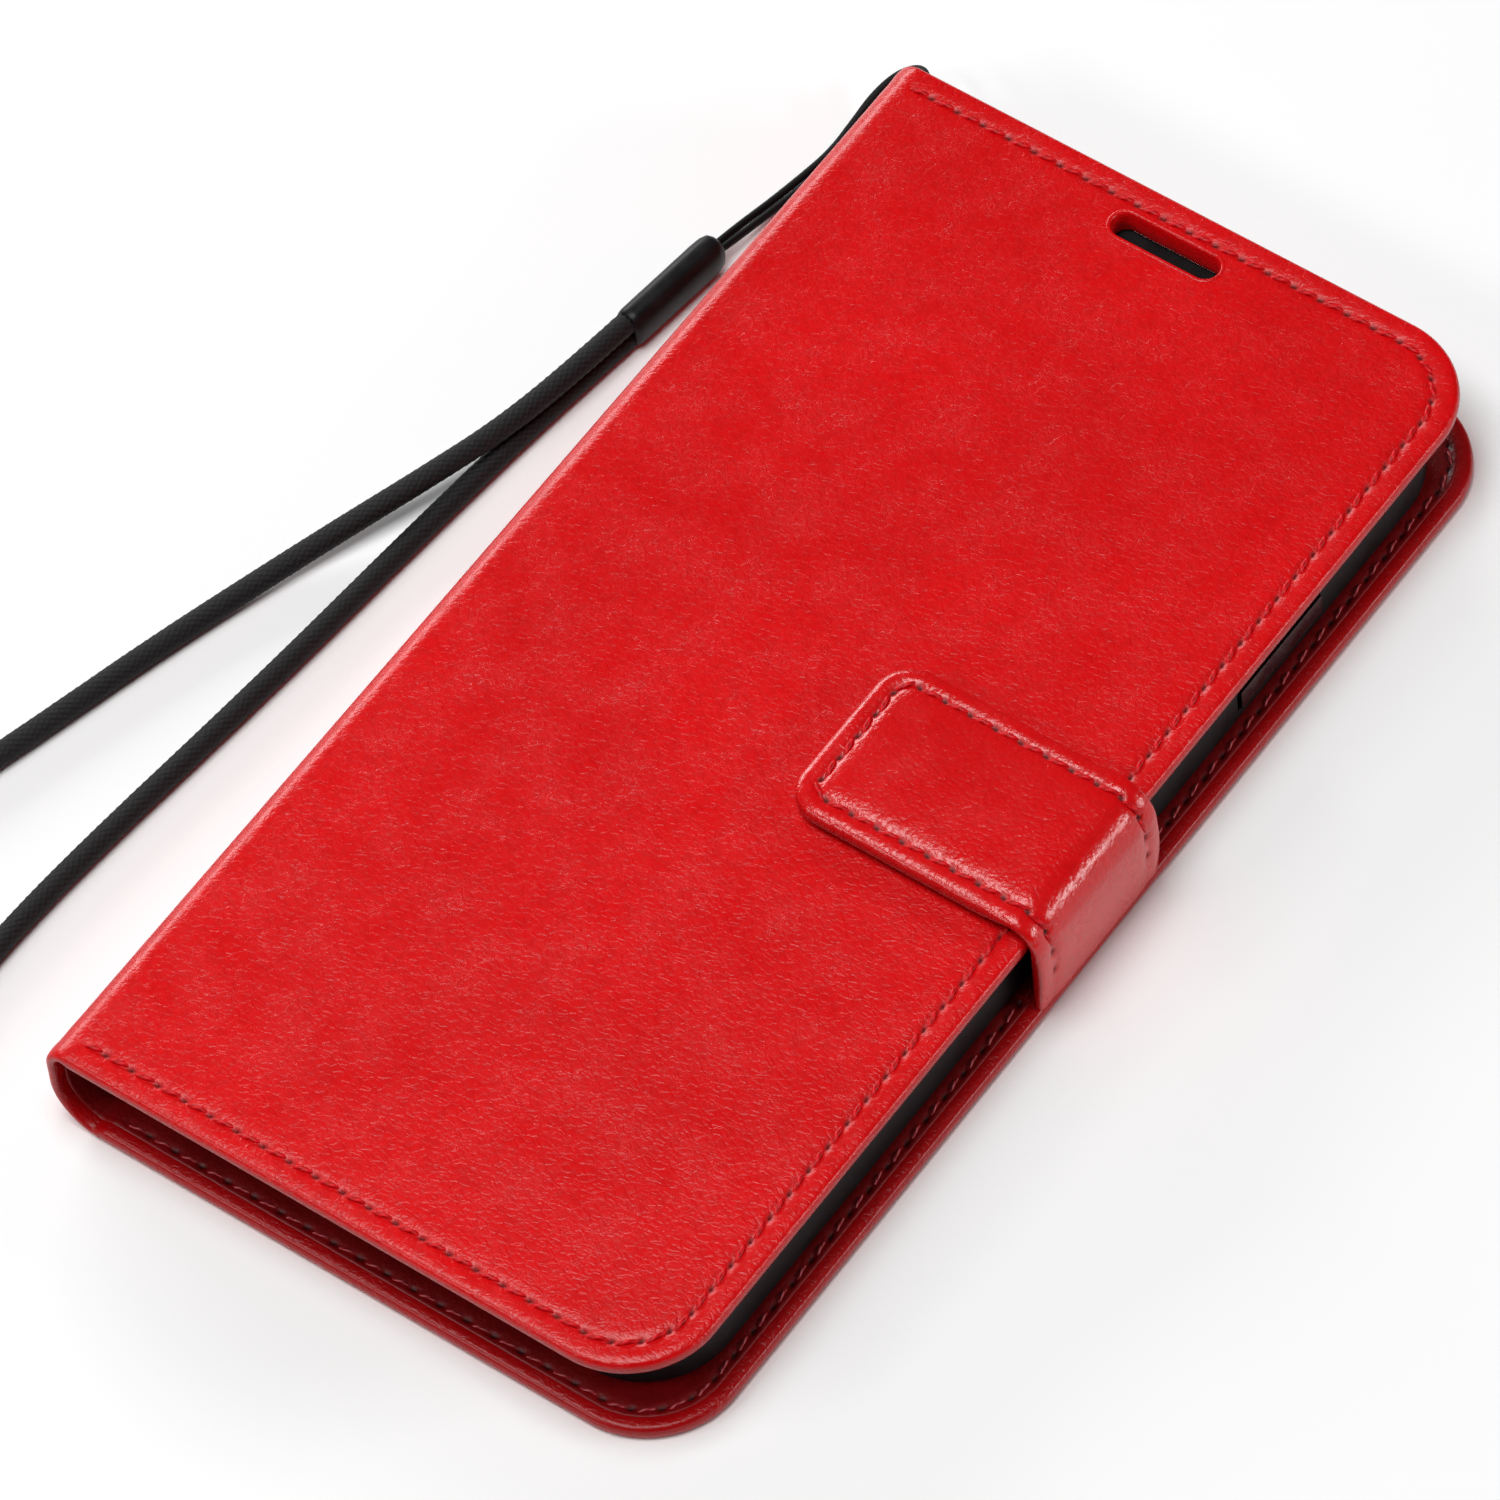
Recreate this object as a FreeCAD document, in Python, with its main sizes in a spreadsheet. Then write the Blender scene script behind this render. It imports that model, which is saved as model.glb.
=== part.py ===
import FreeCAD, Part
import math
import os
import re

import Sketcher

# A folio phone case in leather: a back cover that carries a moulded tray for the phone, a soft
# spine, and a front cover with card pockets inside. A magnetic strap sewn into the back cover
# wraps the fore edge and lies on the front cover, and a cord wrist strap is hooked to the tray.
# Frame: +X from the spine to the fore edge, +Y from the bottom end to the top end, +Z up. The
# case lies closed on its back cover, whose underside is z = 0, centred on x = 0 and y = 0.

V = FreeCAD.Vector
doc = FreeCAD.newDocument("phone_wallet_case")

DIMENSIONS = {
    "cover_length": 158.0,        # both covers, bottom end to top end
    "case_width": 81.4,           # outside of the spine to the back cover's fore edge
    "closed_height": 13.2,        # underside of the back cover to the top of the front cover
    "fore_overhang": 1.6,         # back cover beyond the front cover at the fore edge
    "cover_corner": 11.0,         # radius of the fore corners
    "skin": 0.7,                  # outer leather
    "board": 0.7,                 # stiffener inside each cover
    "lining": 0.5,                # inner leather
    "turned_edge": 1.6,           # outer leather turned over the board's edge
    "lower_fold": 6.5,            # outside radius of the soft fold under the spine
    "upper_fold": 2.0,            # outside radius of the fold above the spine
    "fold_slit": 6.0,             # half angle left free at the lower hinge line, degrees
    "tray_length": 149.2,         # phone tray, outside
    "tray_width": 74.4,
    "tray_offset": 0.1,           # tray centre towards the fore edge
    "tray_height": 8.3,
    "tray_wall": 1.3,
    "tray_floor": 0.8,
    "tray_corner": 10.5,
    "tray_edge": 1.4,             # rounding of the tray's lower outside edge
    "tray_lip": 0.8,              # how far the lip leans in over the phone
    "lip_depth": 0.5,
    "camera_width": 24.0,
    "camera_length": 38.0,
    "port_width": 36.0,
    "port_height": 5.0,
    "key_height": 3.0,
    "key_level": 6.2,             # height of the side keys' centres
    "key_gap": 0.3,
    "key_proud": 0.4,
    "power_length": 15.4,
    "power_at": 38.5,
    "volume_length": 10.5,
    "volume_at": 40.0,            # centre of the volume-up key
    "volume_pitch": 14.0,
    "pocket": 0.4,                # one layer of pocket leather
    "slot_reach": 22.0,           # visible part of each card slot panel
    "earpiece_width": 14.0,
    "earpiece_height": 3.4,
    "earpiece_inset": 6.0,        # slot centre from the top edge
    "earpiece_offset": 0.8,       # slot centre towards the spine
    "strap_width": 22.4,
    "strap_centre": -0.6,
    "strap_reach": 31.8,          # strap tab over the front cover
    "tab_height": 2.4,
    "tab_clearance": 0.5,
    "tab_corner": 4.5,
    "strap_lining": 0.6,
    "magnet_length": 14.0,
    "magnet_width": 6.0,
    "magnet_height": 1.0,
    "keeper_length": 28.0,
    "keeper_width": 12.0,
    "stitch_pitch": 3.5,
    "stitch_length": 2.5,
    "stitch_width": 0.5,
    "stitch_height": 0.25,
    "front_stitch_inset": 3.0,
    "back_stitch_inset": 2.6,
    "strap_stitch_inset": 2.5,
    "cord_diameter": 2.7,         # braided wrist cord
    "thread_diameter": 0.9,       # thin hitching cord
    "post_radius": 1.35,
    "post_at": 61.0,
    "post_level": 6.3,
    "ferrule_length": 15.1,
    "ferrule_width": 3.8,
    "ferrule_height": 5.4,
}

dims = doc.addObject("Spreadsheet::Sheet", "Dims")
for line, (word, size) in enumerate(DIMENSIONS.items(), start=1):
    dims.set(f"A{line}", word)
    dims.set(f"B{line}", str(size))
    dims.setAlias(f"B{line}", word)
doc.recompute()

# places worked out from the driving dimensions, written in the sheet's words
SPINE = "-case_width / 2"
FORE = "case_width / 2"
FRONT_FORE = "case_width / 2 - fore_overhang"
HALF_LENGTH = "cover_length / 2"
BACK_TOP = "skin + board + lining"
FRONT_TOP = "closed_height"
FRONT_UNDER = "closed_height - skin - board - lining"
TRAY_TOP = "skin + board + lining + tray_height"
TRAY_LEFT = "tray_offset - tray_width / 2"
TRAY_RIGHT = "tray_offset + tray_width / 2"
TAB_UNDER = "closed_height + tab_clearance"
STRAP_OUT = "case_width / 2"
STRAP_FACE = "case_width / 2 - skin"
STRAP_IN = "case_width / 2 - skin - strap_lining"
TAB_FREE_END = "case_width / 2 - fore_overhang - strap_reach"


def on_sheet(text):
    """Rewrite a formula in plain words as an expression that points at the sheet's cells."""
    return re.sub(r"[a-z_]+\b(?!\()", lambda word: "Dims." + word.group(0), str(text))


def number(text):
    """The present value of a formula in the sheet's words."""
    return float(dims.evalExpression(on_sheet(text)))


def new_body(label):
    body = doc.addObject("PartDesign::Body", label)
    body.Label = label
    return body


def new_sketch(body, name, plane, level="0"):
    """A sketch on one of the body's own planes, lifted along the plane's normal by a formula."""
    sketch = body.newObject("Sketcher::SketchObject", name)
    face = [f for f in body.Origin.OriginFeatures if f.Role == plane][0]
    sketch.AttachmentSupport = [(face, "")]
    sketch.MapMode = "FlatFace"
    sketch.setExpression("AttachmentOffset.Base.z", on_sheet(level))
    return sketch


def bind(sketch, constraint, name, formula):
    index = sketch.addConstraint(constraint)
    sketch.renameConstraint(index, name)
    sketch.setExpression(f"Constraints.{name}", on_sheet(formula))


def draw_outline(sketch, corners, arcs=None, tag="c"):
    """Close an outline through corners given as pairs of formulas, every corner bound to the sheet.

    arcs maps a side's number to (radius formula, side on which the centre lies: 1 left, -1 right).
    """
    arcs = arcs or {}
    points = [V(number(u), number(v), 0) for u, v in corners]
    first = sketch.GeometryCount
    count = len(points)
    starts = []
    for side, start in enumerate(points):
        end = points[(side + 1) % count]
        if side in arcs:
            radius, left = number(arcs[side][0]), arcs[side][1]
            half = (end - start) * 0.5
            across = V(-half.y, half.x, 0).normalize()
            rise = math.sqrt(max(radius ** 2 - half.Length ** 2, 0))
            centre = start + half + across * (rise * left)
            crown = centre - across * (radius * left)
            arc = Part.Arc(start, crown, end)
            sketch.addGeometry(arc)
            # sketch arcs always run anticlockwise
            starts.append(1 if left > 0 else 2)
        else:
            sketch.addGeometry(Part.LineSegment(start, end))
            starts.append(1)
    for side in range(count):
        after = (side + 1) % count
        here = (first + side, 3 - starts[side])
        there = (first + after, starts[after])
        sketch.addConstraint(Sketcher.Constraint("Coincident", *here, *there))
    for side, (u, v) in enumerate(corners):
        geometry, start = first + side, starts[side]
        across = Sketcher.Constraint("DistanceX", -1, 1, geometry, start, number(u))
        along = Sketcher.Constraint("DistanceY", -1, 1, geometry, start, number(v))
        bind(sketch, across, f"{tag}{side}u", u)
        bind(sketch, along, f"{tag}{side}v", v)
        if side in arcs:
            radius = Sketcher.Constraint("Radius", geometry, number(arcs[side][0]))
            bind(sketch, radius, f"{tag}{side}r", arcs[side][0])


def box_corners(x_low, x_high, y_low, y_high):
    return [(x_low, y_low), (x_high, y_low), (x_high, y_high), (x_low, y_high)]


def fore_rounded(x_low, x_high, half_length, radius):
    """Outline and arcs of a panel whose two fore corners are rounded."""
    corners = [
        (x_low, f"-({half_length})"),
        (f"{x_high} - ({radius})", f"-({half_length})"),
        (x_high, f"-({half_length}) + {radius}"),
        (x_high, f"{half_length} - ({radius})"),
        (f"{x_high} - ({radius})", half_length),
        (x_low, half_length),
    ]
    return corners, {1: (radius, 1), 3: (radius, 1)}


def all_rounded(x_low, x_high, y_low, y_high, radius):
    """Outline and arcs of a panel with four rounded corners."""
    corners = [
        (f"{x_low} + {radius}", y_low),
        (f"{x_high} - ({radius})", y_low),
        (x_high, f"{y_low} + {radius}"),
        (x_high, f"{y_high} - ({radius})"),
        (f"{x_high} - ({radius})", y_high),
        (f"{x_low} + {radius}", y_high),
        (x_low, f"{y_high} - ({radius})"),
        (x_low, f"{y_low} + {radius}"),
    ]
    return corners, {side: (radius, 1) for side in (1, 3, 5, 7)}


def pad(body, sketch, thickness, symmetric=False):
    feature = body.newObject("PartDesign::Pad", sketch.Name + "_pad")
    feature.Profile = sketch
    feature.setExpression("Length", on_sheet(thickness))
    feature.SideType = "Symmetric" if symmetric else "One side"
    return feature


def pocket(body, sketch, depth, reverse=False):
    """Cut a sketch into the body, down its normal, or up it when reversed; both are checked."""
    doc.recompute()
    before = body.Shape.Volume
    feature = body.newObject("PartDesign::Pocket", sketch.Name + "_pocket")
    feature.Profile = sketch
    feature.setExpression("Length", on_sheet(depth))
    feature.Reversed = reverse
    doc.recompute()
    if body.Shape.Volume > before - 1e-3:
        raise RuntimeError(f"{body.Label}: {sketch.Name} removed nothing")
    return feature


def plate(body, name, outline, low, thickness):
    """Pad a flat panel up from a level, with its outline given as (corners, arcs)."""
    sketch = new_sketch(body, name, "XY_Plane", low)
    draw_outline(sketch, *outline)
    return pad(body, sketch, thickness)


def window(body, name, outline, level, depth, plane="XY_Plane", reverse=False):
    sketch = new_sketch(body, name, plane, level)
    draw_outline(sketch, *outline)
    return pocket(body, sketch, depth, reverse)


# ---------------------------------------------------------------- shared outlines

def earpiece(margin):
    """The stadium-shaped slot over the phone's earpiece, grown by a margin."""
    half_height = f"(earpiece_height / 2 + {margin})"
    centre = f"({HALF_LENGTH} - earpiece_inset)"
    return all_rounded(
        f"-earpiece_offset - earpiece_width / 2 - {margin}",
        f"-earpiece_offset + earpiece_width / 2 + {margin}",
        f"{centre} - {half_height}",
        f"{centre} + {half_height}",
        f"{half_height} * 0.98",
    )


def camera(margin):
    """The opening over the phone's rear cameras, near the top of the fore side."""
    return all_rounded(
        f"tray_offset + tray_width / 2 - 5.5 - camera_width - ({margin})",
        f"tray_offset + tray_width / 2 - 5.5 + {margin}",
        f"tray_length / 2 - 5.5 - camera_length - ({margin})",
        f"tray_length / 2 - 5.5 + {margin}",
        f"5 + {margin}",
    )


def fold_point(radius, angle):
    """A point on the lower fold, at a formula's radius and an angle in degrees from +X."""
    return (
        f"{SPINE} + lower_fold + ({radius}) * cos({angle})",
        f"lower_fold + ({radius}) * sin({angle})",
    )


def fold_strip(outer, inner, start, end):
    """Outline of a strip bent round the lower fold between two angles."""
    corners = [
        fold_point(outer, start),
        fold_point(outer, end),
        fold_point(inner, end),
        fold_point(inner, start),
    ]
    return corners, {0: (outer, 1), 2: (inner, -1)}


FLAT_END = f"{SPINE} + lower_fold"
BOARD_INSET = "(turned_edge + 0.1)"


# ---------------------------------------------------------------- back cover

def back_skin():
    body = new_body("back_skin")
    outline = fore_rounded(FLAT_END, FORE, HALF_LENGTH, "cover_corner")
    plate(body, "back_plate", outline, "0", BACK_TOP)
    inner = fore_rounded(
        f"{FLAT_END} - 1", f"{FORE} - turned_edge", f"{HALF_LENGTH} - turned_edge",
        "cover_corner - turned_edge",
    )
    window(body, "turned_rim", inner, BACK_TOP, "board + lining")
    notch = box_corners(
        f"{FORE} - turned_edge - 1", f"{FORE} + 1",
        "strap_centre - strap_width / 2 - 0.2", "strap_centre + strap_width / 2 + 0.2",
    )
    window(body, "strap_mouth", (notch, None), BACK_TOP, "board + lining")
    window(body, "camera_window", camera("0"), "skin", "skin + 1")
    bend = new_sketch(body, "fold", "XZ_Plane")
    draw_outline(bend, *fold_strip(
        "lower_fold", "lower_fold - skin", "225 + fold_slit", "270"))
    pad(body, bend, "cover_length", symmetric=True)
    return body


def back_board():
    body = new_body("back_board")
    outline = fore_rounded(
        f"{FLAT_END} + 1", f"{FORE} - {BOARD_INSET}", f"{HALF_LENGTH} - {BOARD_INSET}",
        f"cover_corner - {BOARD_INSET}",
    )
    plate(body, "board_plate", outline, "skin", "board")
    notch = box_corners(
        f"{FORE} - turned_edge - 8.2", f"{FORE} + 1",
        "strap_centre - strap_width / 2 - 0.2", "strap_centre + strap_width / 2 + 0.2",
    )
    window(body, "strap_notch", (notch, None), "skin + board", "board")
    window(body, "camera_window", camera("0.3"), "skin + board", "board")
    return body


def back_lining():
    body = new_body("back_lining")
    outline = fore_rounded(
        f"{FLAT_END} + 0.5", f"{FORE} - {BOARD_INSET}", f"{HALF_LENGTH} - {BOARD_INSET}",
        f"cover_corner - {BOARD_INSET}",
    )
    plate(body, "lining_plate", outline, "skin + board", "lining")
    step = new_sketch(body, "lining_step", "XZ_Plane")
    draw_outline(step, box_corners(FLAT_END, f"{FLAT_END} + 0.8", "skin", BACK_TOP))
    pad(body, step, f"cover_length - 2 * {BOARD_INSET}", symmetric=True)
    window(body, "camera_window", camera("0.1"), BACK_TOP, "lining + 0.1")
    bend = new_sketch(body, "fold", "XZ_Plane")
    draw_outline(bend, *fold_strip(
        "lower_fold - skin", "lower_fold - skin - lining", "225 + fold_slit", "270"))
    pad(body, bend, f"cover_length - 2 * {BOARD_INSET}", symmetric=True)
    return body


def strap_root():
    body = new_body("strap_root")
    outline = box_corners(
        f"{FORE} - turned_edge - 8", f"{FORE} - 0.1",
        "strap_centre - strap_width / 2", "strap_centre + strap_width / 2",
    )
    plate(body, "root_plate", (outline, None), "skin", "board - 0.05")
    return body


# ---------------------------------------------------------------- phone tray

def side_window(body, name, x_face, centre, length):
    """A key window through one of the tray's long walls."""
    margin = "key_gap"
    outline = box_corners(
        f"{centre} - ({length}) / 2 - {margin}", f"{centre} + ({length}) / 2 + {margin}",
        f"key_level - key_height / 2 - {margin}", f"key_level + key_height / 2 + {margin}",
    )
    return window(body, name, (outline, None), f"{x_face} + tray_wall + 0.5",
                  "tray_wall + 1", plane="YZ_Plane")


def phone_tray():
    body = new_body("phone_tray")
    half = "tray_length / 2"
    outer = all_rounded(TRAY_LEFT, TRAY_RIGHT, f"-{half}", half, "tray_corner")
    block = plate(body, "tray_block", outer, BACK_TOP, "tray_height")
    doc.recompute()
    floor_level = number(BACK_TOP)
    edges = [f"Edge{index}" for index, edge in enumerate(block.Shape.Edges, start=1)
             if edge.BoundBox.ZMax < floor_level + 0.01]
    rounding = body.newObject("PartDesign::Fillet", "tray_block_edge")
    rounding.Base = (block, edges)
    rounding.setExpression("Radius", on_sheet("tray_edge"))

    def inset(margin):
        return all_rounded(
            f"{TRAY_LEFT} + {margin}", f"{TRAY_RIGHT} - ({margin})",
            f"-{half} + {margin}", f"{half} - ({margin})", f"tray_corner - ({margin})",
        )

    window(body, "lip_mouth", inset("tray_wall + tray_lip"), TRAY_TOP, "lip_depth + 0.1")
    window(body, "phone_bay", inset("tray_wall"), f"{TRAY_TOP} - lip_depth",
           "tray_height - lip_depth - tray_floor")
    window(body, "camera_window", camera("-1"), f"{BACK_TOP} + tray_floor", "tray_floor + 0.1")
    port = box_corners(
        "tray_offset - port_width / 2", "tray_offset + port_width / 2",
        "key_level - port_height / 2", "key_level + port_height / 2",
    )
    window(body, "port_window", (port, None), f"{half} - tray_wall - 1",
           "tray_wall + 2", plane="XZ_Plane", reverse=True)
    side_window(body, "power_window", f"{TRAY_RIGHT} - tray_wall", "power_at", "power_length")
    for number_of_key, name in enumerate(("volume_up", "volume_down")):
        centre = f"volume_at - {number_of_key} * volume_pitch"
        side_window(body, name + "_window", TRAY_LEFT, centre, "volume_length")
    for name, radius, reach in (("post", "post_radius", "1.9"), ("post_head", "2.3", "0.5")):
        start = "0" if name == "post" else "1.4"
        sketch = new_sketch(body, name, "YZ_Plane", f"{TRAY_LEFT} - {start} + 0.1")
        sketch.addGeometry(Part.Circle(V(number("post_at"), number("post_level"), 0),
                                       V(0, 0, 1), number(radius)))
        bind(sketch, Sketcher.Constraint("DistanceX", -1, 1, 0, 3, number("post_at")),
             "along", "post_at")
        bind(sketch, Sketcher.Constraint("DistanceY", -1, 1, 0, 3, number("post_level")),
             "level", "post_level")
        bind(sketch, Sketcher.Constraint("Radius", 0, number(radius)), "size", radius)
        feature = pad(body, sketch, reach)
        feature.Reversed = True
    return body


def key_pad(label, x_inner, x_outer, centre, length):
    body = new_body(label)
    outline = box_corners(
        x_inner, x_outer, f"{centre} - ({length}) / 2", f"{centre} + ({length}) / 2")
    plate(body, label + "_block", (outline, None), "key_level - key_height / 2", "key_height")
    return body


# ---------------------------------------------------------------- spine

def spine_strip(label, outer, thickness, half_length):
    """One layer of the spine: half of the lower fold, then straight up to the upper fold."""
    body = new_body(label)
    turn_end = "180"
    turn_start = "225 - fold_slit"
    inner = f"{outer} - ({thickness})"
    top = "closed_height - upper_fold - 0.3"
    corners = [
        fold_point(outer, turn_start),
        fold_point(inner, turn_start),
        fold_point(inner, turn_end),
        (fold_point(inner, turn_end)[0], top),
        (fold_point(outer, turn_end)[0], top),
        fold_point(outer, turn_end),
    ]
    sketch = new_sketch(body, label + "_profile", "XZ_Plane")
    draw_outline(sketch, corners, {1: (inner, -1), 5: (outer, 1)})
    pad(body, sketch, f"2 * ({half_length})", symmetric=True)
    return body


# ---------------------------------------------------------------- front cover

FRONT_START = f"{SPINE} + upper_fold + 0.4"


def front_skin():
    body = new_body("front_skin")
    outline = fore_rounded(FRONT_START, FRONT_FORE, HALF_LENGTH, "cover_corner")
    plate(body, "front_plate", outline, FRONT_UNDER, BACK_TOP)
    inner = fore_rounded(
        f"{FRONT_START} - 1", f"{FRONT_FORE} - turned_edge", f"{HALF_LENGTH} - turned_edge",
        "cover_corner - turned_edge",
    )
    window(body, "turned_rim", inner, FRONT_UNDER, "board + lining", reverse=True)
    window(body, "earpiece_slot", earpiece("0"), f"{FRONT_TOP} + 0.1", "skin + 0.2")
    return body


def front_panel(label, low, thickness, slot_margin):
    """A stiffener or lining panel inside the front cover, with the earpiece slot through it."""
    body = new_body(label)
    outline = fore_rounded(
        FRONT_START, f"{FRONT_FORE} - {BOARD_INSET}", f"{HALF_LENGTH} - {BOARD_INSET}",
        f"cover_corner - {BOARD_INSET}",
    )
    plate(body, label + "_plate", outline, low, thickness)
    window(body, "earpiece_slot", earpiece(slot_margin), f"{low} + {thickness} + 0.1",
           f"{thickness} + 0.2")
    return body


def keeper_outline(margin):
    centre = f"({TAB_FREE_END} + 11)"
    return box_corners(
        f"{centre} - keeper_width / 2 - {margin}", f"{centre} + keeper_width / 2 + {margin}",
        f"strap_centre - keeper_length / 2 - {margin}",
        f"strap_centre + keeper_length / 2 + {margin}",
    )


def front_board():
    body = front_panel("front_board", f"{FRONT_UNDER} + lining", "board", "0.3")
    window(body, "keeper_window", (keeper_outline("0.1"), None), f"{FRONT_TOP} - skin", "board")
    return body


def keeper_plate():
    body = new_body("keeper_plate")
    plate(body, "keeper_sheet", (keeper_outline("0"), None), f"{FRONT_UNDER} + lining",
          "board - 0.05")
    return body


POCKET_LEFT = f"{SPINE} + 5.5"
POCKET_RIGHT = f"{FRONT_FORE} - 2.9"
POCKET_BOTTOM = f"-({HALF_LENGTH}) + 3"


def cash_pocket_panel():
    body = new_body("cash_pocket_panel")
    outline = all_rounded(POCKET_LEFT, POCKET_RIGHT, POCKET_BOTTOM,
                          f"{HALF_LENGTH} - 12", "8")
    plate(body, "cash_sheet", outline, f"{FRONT_UNDER} - pocket", "pocket")
    return body


def card_slot_panel(label, y_low, y_high):
    body = new_body(label)
    outline = box_corners(
        f"{POCKET_LEFT} + 8", f"{POCKET_RIGHT} - 1", y_low, y_high)
    plate(body, label + "_sheet", (outline, None), f"{FRONT_UNDER} - 2 * pocket", "pocket")
    return body


# ---------------------------------------------------------------- magnetic strap

STRAP_LOW = "strap_centre - strap_width / 2"
STRAP_HIGH = "strap_centre + strap_width / 2"


def strap_side(label, x_low, x_high):
    """The part of the strap that stands beside the fore edge."""
    body = new_body(label)
    outline = box_corners(x_low, x_high, STRAP_LOW, STRAP_HIGH)
    plate(body, label + "_sheet", (outline, None), f"{BACK_TOP} + 0.6",
          f"closed_height - ({BACK_TOP}) - 0.9")
    return body


def tab_outline(x_high, inset="0"):
    corners = [
        (x_high, f"{STRAP_LOW} + {inset}"),
        (x_high, f"{STRAP_HIGH} - {inset}"),
        (f"{TAB_FREE_END} + tab_corner", f"{STRAP_HIGH} - {inset}"),
        (f"{TAB_FREE_END} + {inset}", f"{STRAP_HIGH} - tab_corner"),
        (f"{TAB_FREE_END} + {inset}", f"{STRAP_LOW} + tab_corner"),
        (f"{TAB_FREE_END} + tab_corner", f"{STRAP_LOW} + {inset}"),
    ]
    radius = f"tab_corner - {inset}"
    return corners, {2: (radius, 1), 4: (radius, 1)}


TAB_END = f"{FRONT_FORE} - 1"


def strap_tab_skin():
    """The tab's top leather, turned down round the filler on its three free sides."""
    body = new_body("strap_tab_skin")
    plate(body, "tab_block", tab_outline(TAB_END), f"{TAB_UNDER} + strap_lining",
          "tab_height - strap_lining")
    inner = tab_outline(f"{TAB_END} + 1", "1.2")
    window(body, "filler_space", inner, f"{TAB_UNDER} + strap_lining",
           "tab_height - strap_lining - skin", reverse=True)
    return body


def strap_tab_lining():
    body = new_body("strap_tab_lining")
    plate(body, "tab_lining_sheet", tab_outline(TAB_END), TAB_UNDER, "strap_lining")
    return body


def magnet_outline(side, margin):
    """One of the two bar magnets that lie side by side under the tab's leather."""
    centre_x = f"({TAB_FREE_END} + 11)"
    centre_y = f"(strap_centre + {side} * 4.6)"
    return box_corners(
        f"{centre_x} - magnet_length / 2 - {margin}", f"{centre_x} + magnet_length / 2 + {margin}",
        f"{centre_y} - magnet_width / 2 - {margin}", f"{centre_y} + magnet_width / 2 + {margin}",
    )


def strap_filler():
    body = new_body("strap_filler")
    plate(body, "filler_pad", tab_outline(TAB_END, "1.3"), f"{TAB_UNDER} + strap_lining",
          "tab_height - strap_lining - skin")
    for side in (-1, 1):
        outline = magnet_outline(side, "0.1")
        name = "upper_magnet_pocket" if side > 0 else "lower_magnet_pocket"
        window(body, name, (outline, None), f"{TAB_UNDER} + strap_lining",
               "magnet_height + 0.05", reverse=True)
    return body


def strap_magnet(label, side):
    body = new_body(label)
    plate(body, label + "_bar", (magnet_outline(side, "0"), None),
          f"{TAB_UNDER} + strap_lining", "magnet_height")
    return body


# ---------------------------------------------------------------- stitching

def run_of_points(start, end, pitch):
    """Evenly spaced places and headings along a straight seam."""
    way = end - start
    count = max(int(round(way.Length / pitch)), 1)
    for step in range(count):
        yield start + way * ((step + 0.5) / count), math.atan2(way.y, way.x)


def turn_of_points(centre, radius, start_angle, end_angle, pitch):
    """Evenly spaced places and headings round a rounded corner of a seam."""
    sweep = end_angle - start_angle
    count = max(int(round(abs(sweep) * radius / pitch)), 1)
    for step in range(count):
        angle = start_angle + sweep * (step + 0.5) / count
        place = centre + V(math.cos(angle), math.sin(angle), 0) * radius
        yield place, angle + math.pi / 2


def stitches(places, level):
    """A group of short thread bars lying on a surface at a level."""
    length = number("stitch_length")
    width = number("stitch_width")
    height = number("stitch_height")
    bars = []
    for place, heading in places:
        bar = Part.makeBox(length, width, height, V(-length / 2, -width / 2, 0))
        bar.rotate(V(0, 0, 0), V(0, 0, 1), math.degrees(heading))
        bar.translate(V(place.x, place.y, level))
        bars.append(bar)
    return Part.makeCompound(bars)


def made_piece(label, shape):
    """A piece whose shape is worked out here from the sheet's sizes."""
    piece = doc.addObject("Part::Feature", label)
    piece.Label = label
    piece.Shape = shape
    piece.Placement = FreeCAD.Placement()
    return piece


def cover_seam(start, fore, inset):
    """The seam along the bottom end, the fore edge and the top end of a cover."""
    pitch = number("stitch_pitch")
    radius = number("cover_corner") - inset
    x = fore - inset
    y = number(HALF_LENGTH) - inset
    places = list(run_of_points(V(start, -y, 0), V(x - radius, -y, 0), pitch))
    places += turn_of_points(V(x - radius, -y + radius, 0), radius, -math.pi / 2, 0, pitch)
    places += run_of_points(V(x, -y + radius, 0), V(x, y - radius, 0), pitch)
    places += turn_of_points(V(x - radius, y - radius, 0), radius, 0, math.pi / 2, pitch)
    places += run_of_points(V(x - radius, y, 0), V(start, y, 0), pitch)
    return places


def cover_stitching():
    front = cover_seam(number(FRONT_START) + 1, number(FRONT_FORE),
                       number("front_stitch_inset"))
    made_piece("front_stitching", stitches(front, number(FRONT_TOP)))
    back = cover_seam(number(FLAT_END) + 2, number(FORE), number("back_stitch_inset"))
    made_piece("back_stitching", stitches(back, number(BACK_TOP)))


def strap_stitching():
    pitch = number("stitch_pitch")
    inset = number("strap_stitch_inset")
    radius = number("tab_corner") - inset
    low = number(STRAP_LOW) + inset
    high = number(STRAP_HIGH) - inset
    left = number(TAB_FREE_END) + inset
    right = number(TAB_END)
    places = list(run_of_points(V(right, high, 0), V(left + radius, high, 0), pitch))
    places += turn_of_points(V(left + radius, high - radius, 0), radius,
                             math.pi / 2, math.pi, pitch)
    places += run_of_points(V(left, high - radius, 0), V(left, low + radius, 0), pitch)
    places += turn_of_points(V(left + radius, low + radius, 0), radius,
                             math.pi, 1.5 * math.pi, pitch)
    places += run_of_points(V(left + radius, low, 0), V(right, low, 0), pitch)
    top = number(TAB_UNDER) + number("tab_height")
    made_piece("strap_stitching", stitches(places, top))


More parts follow.
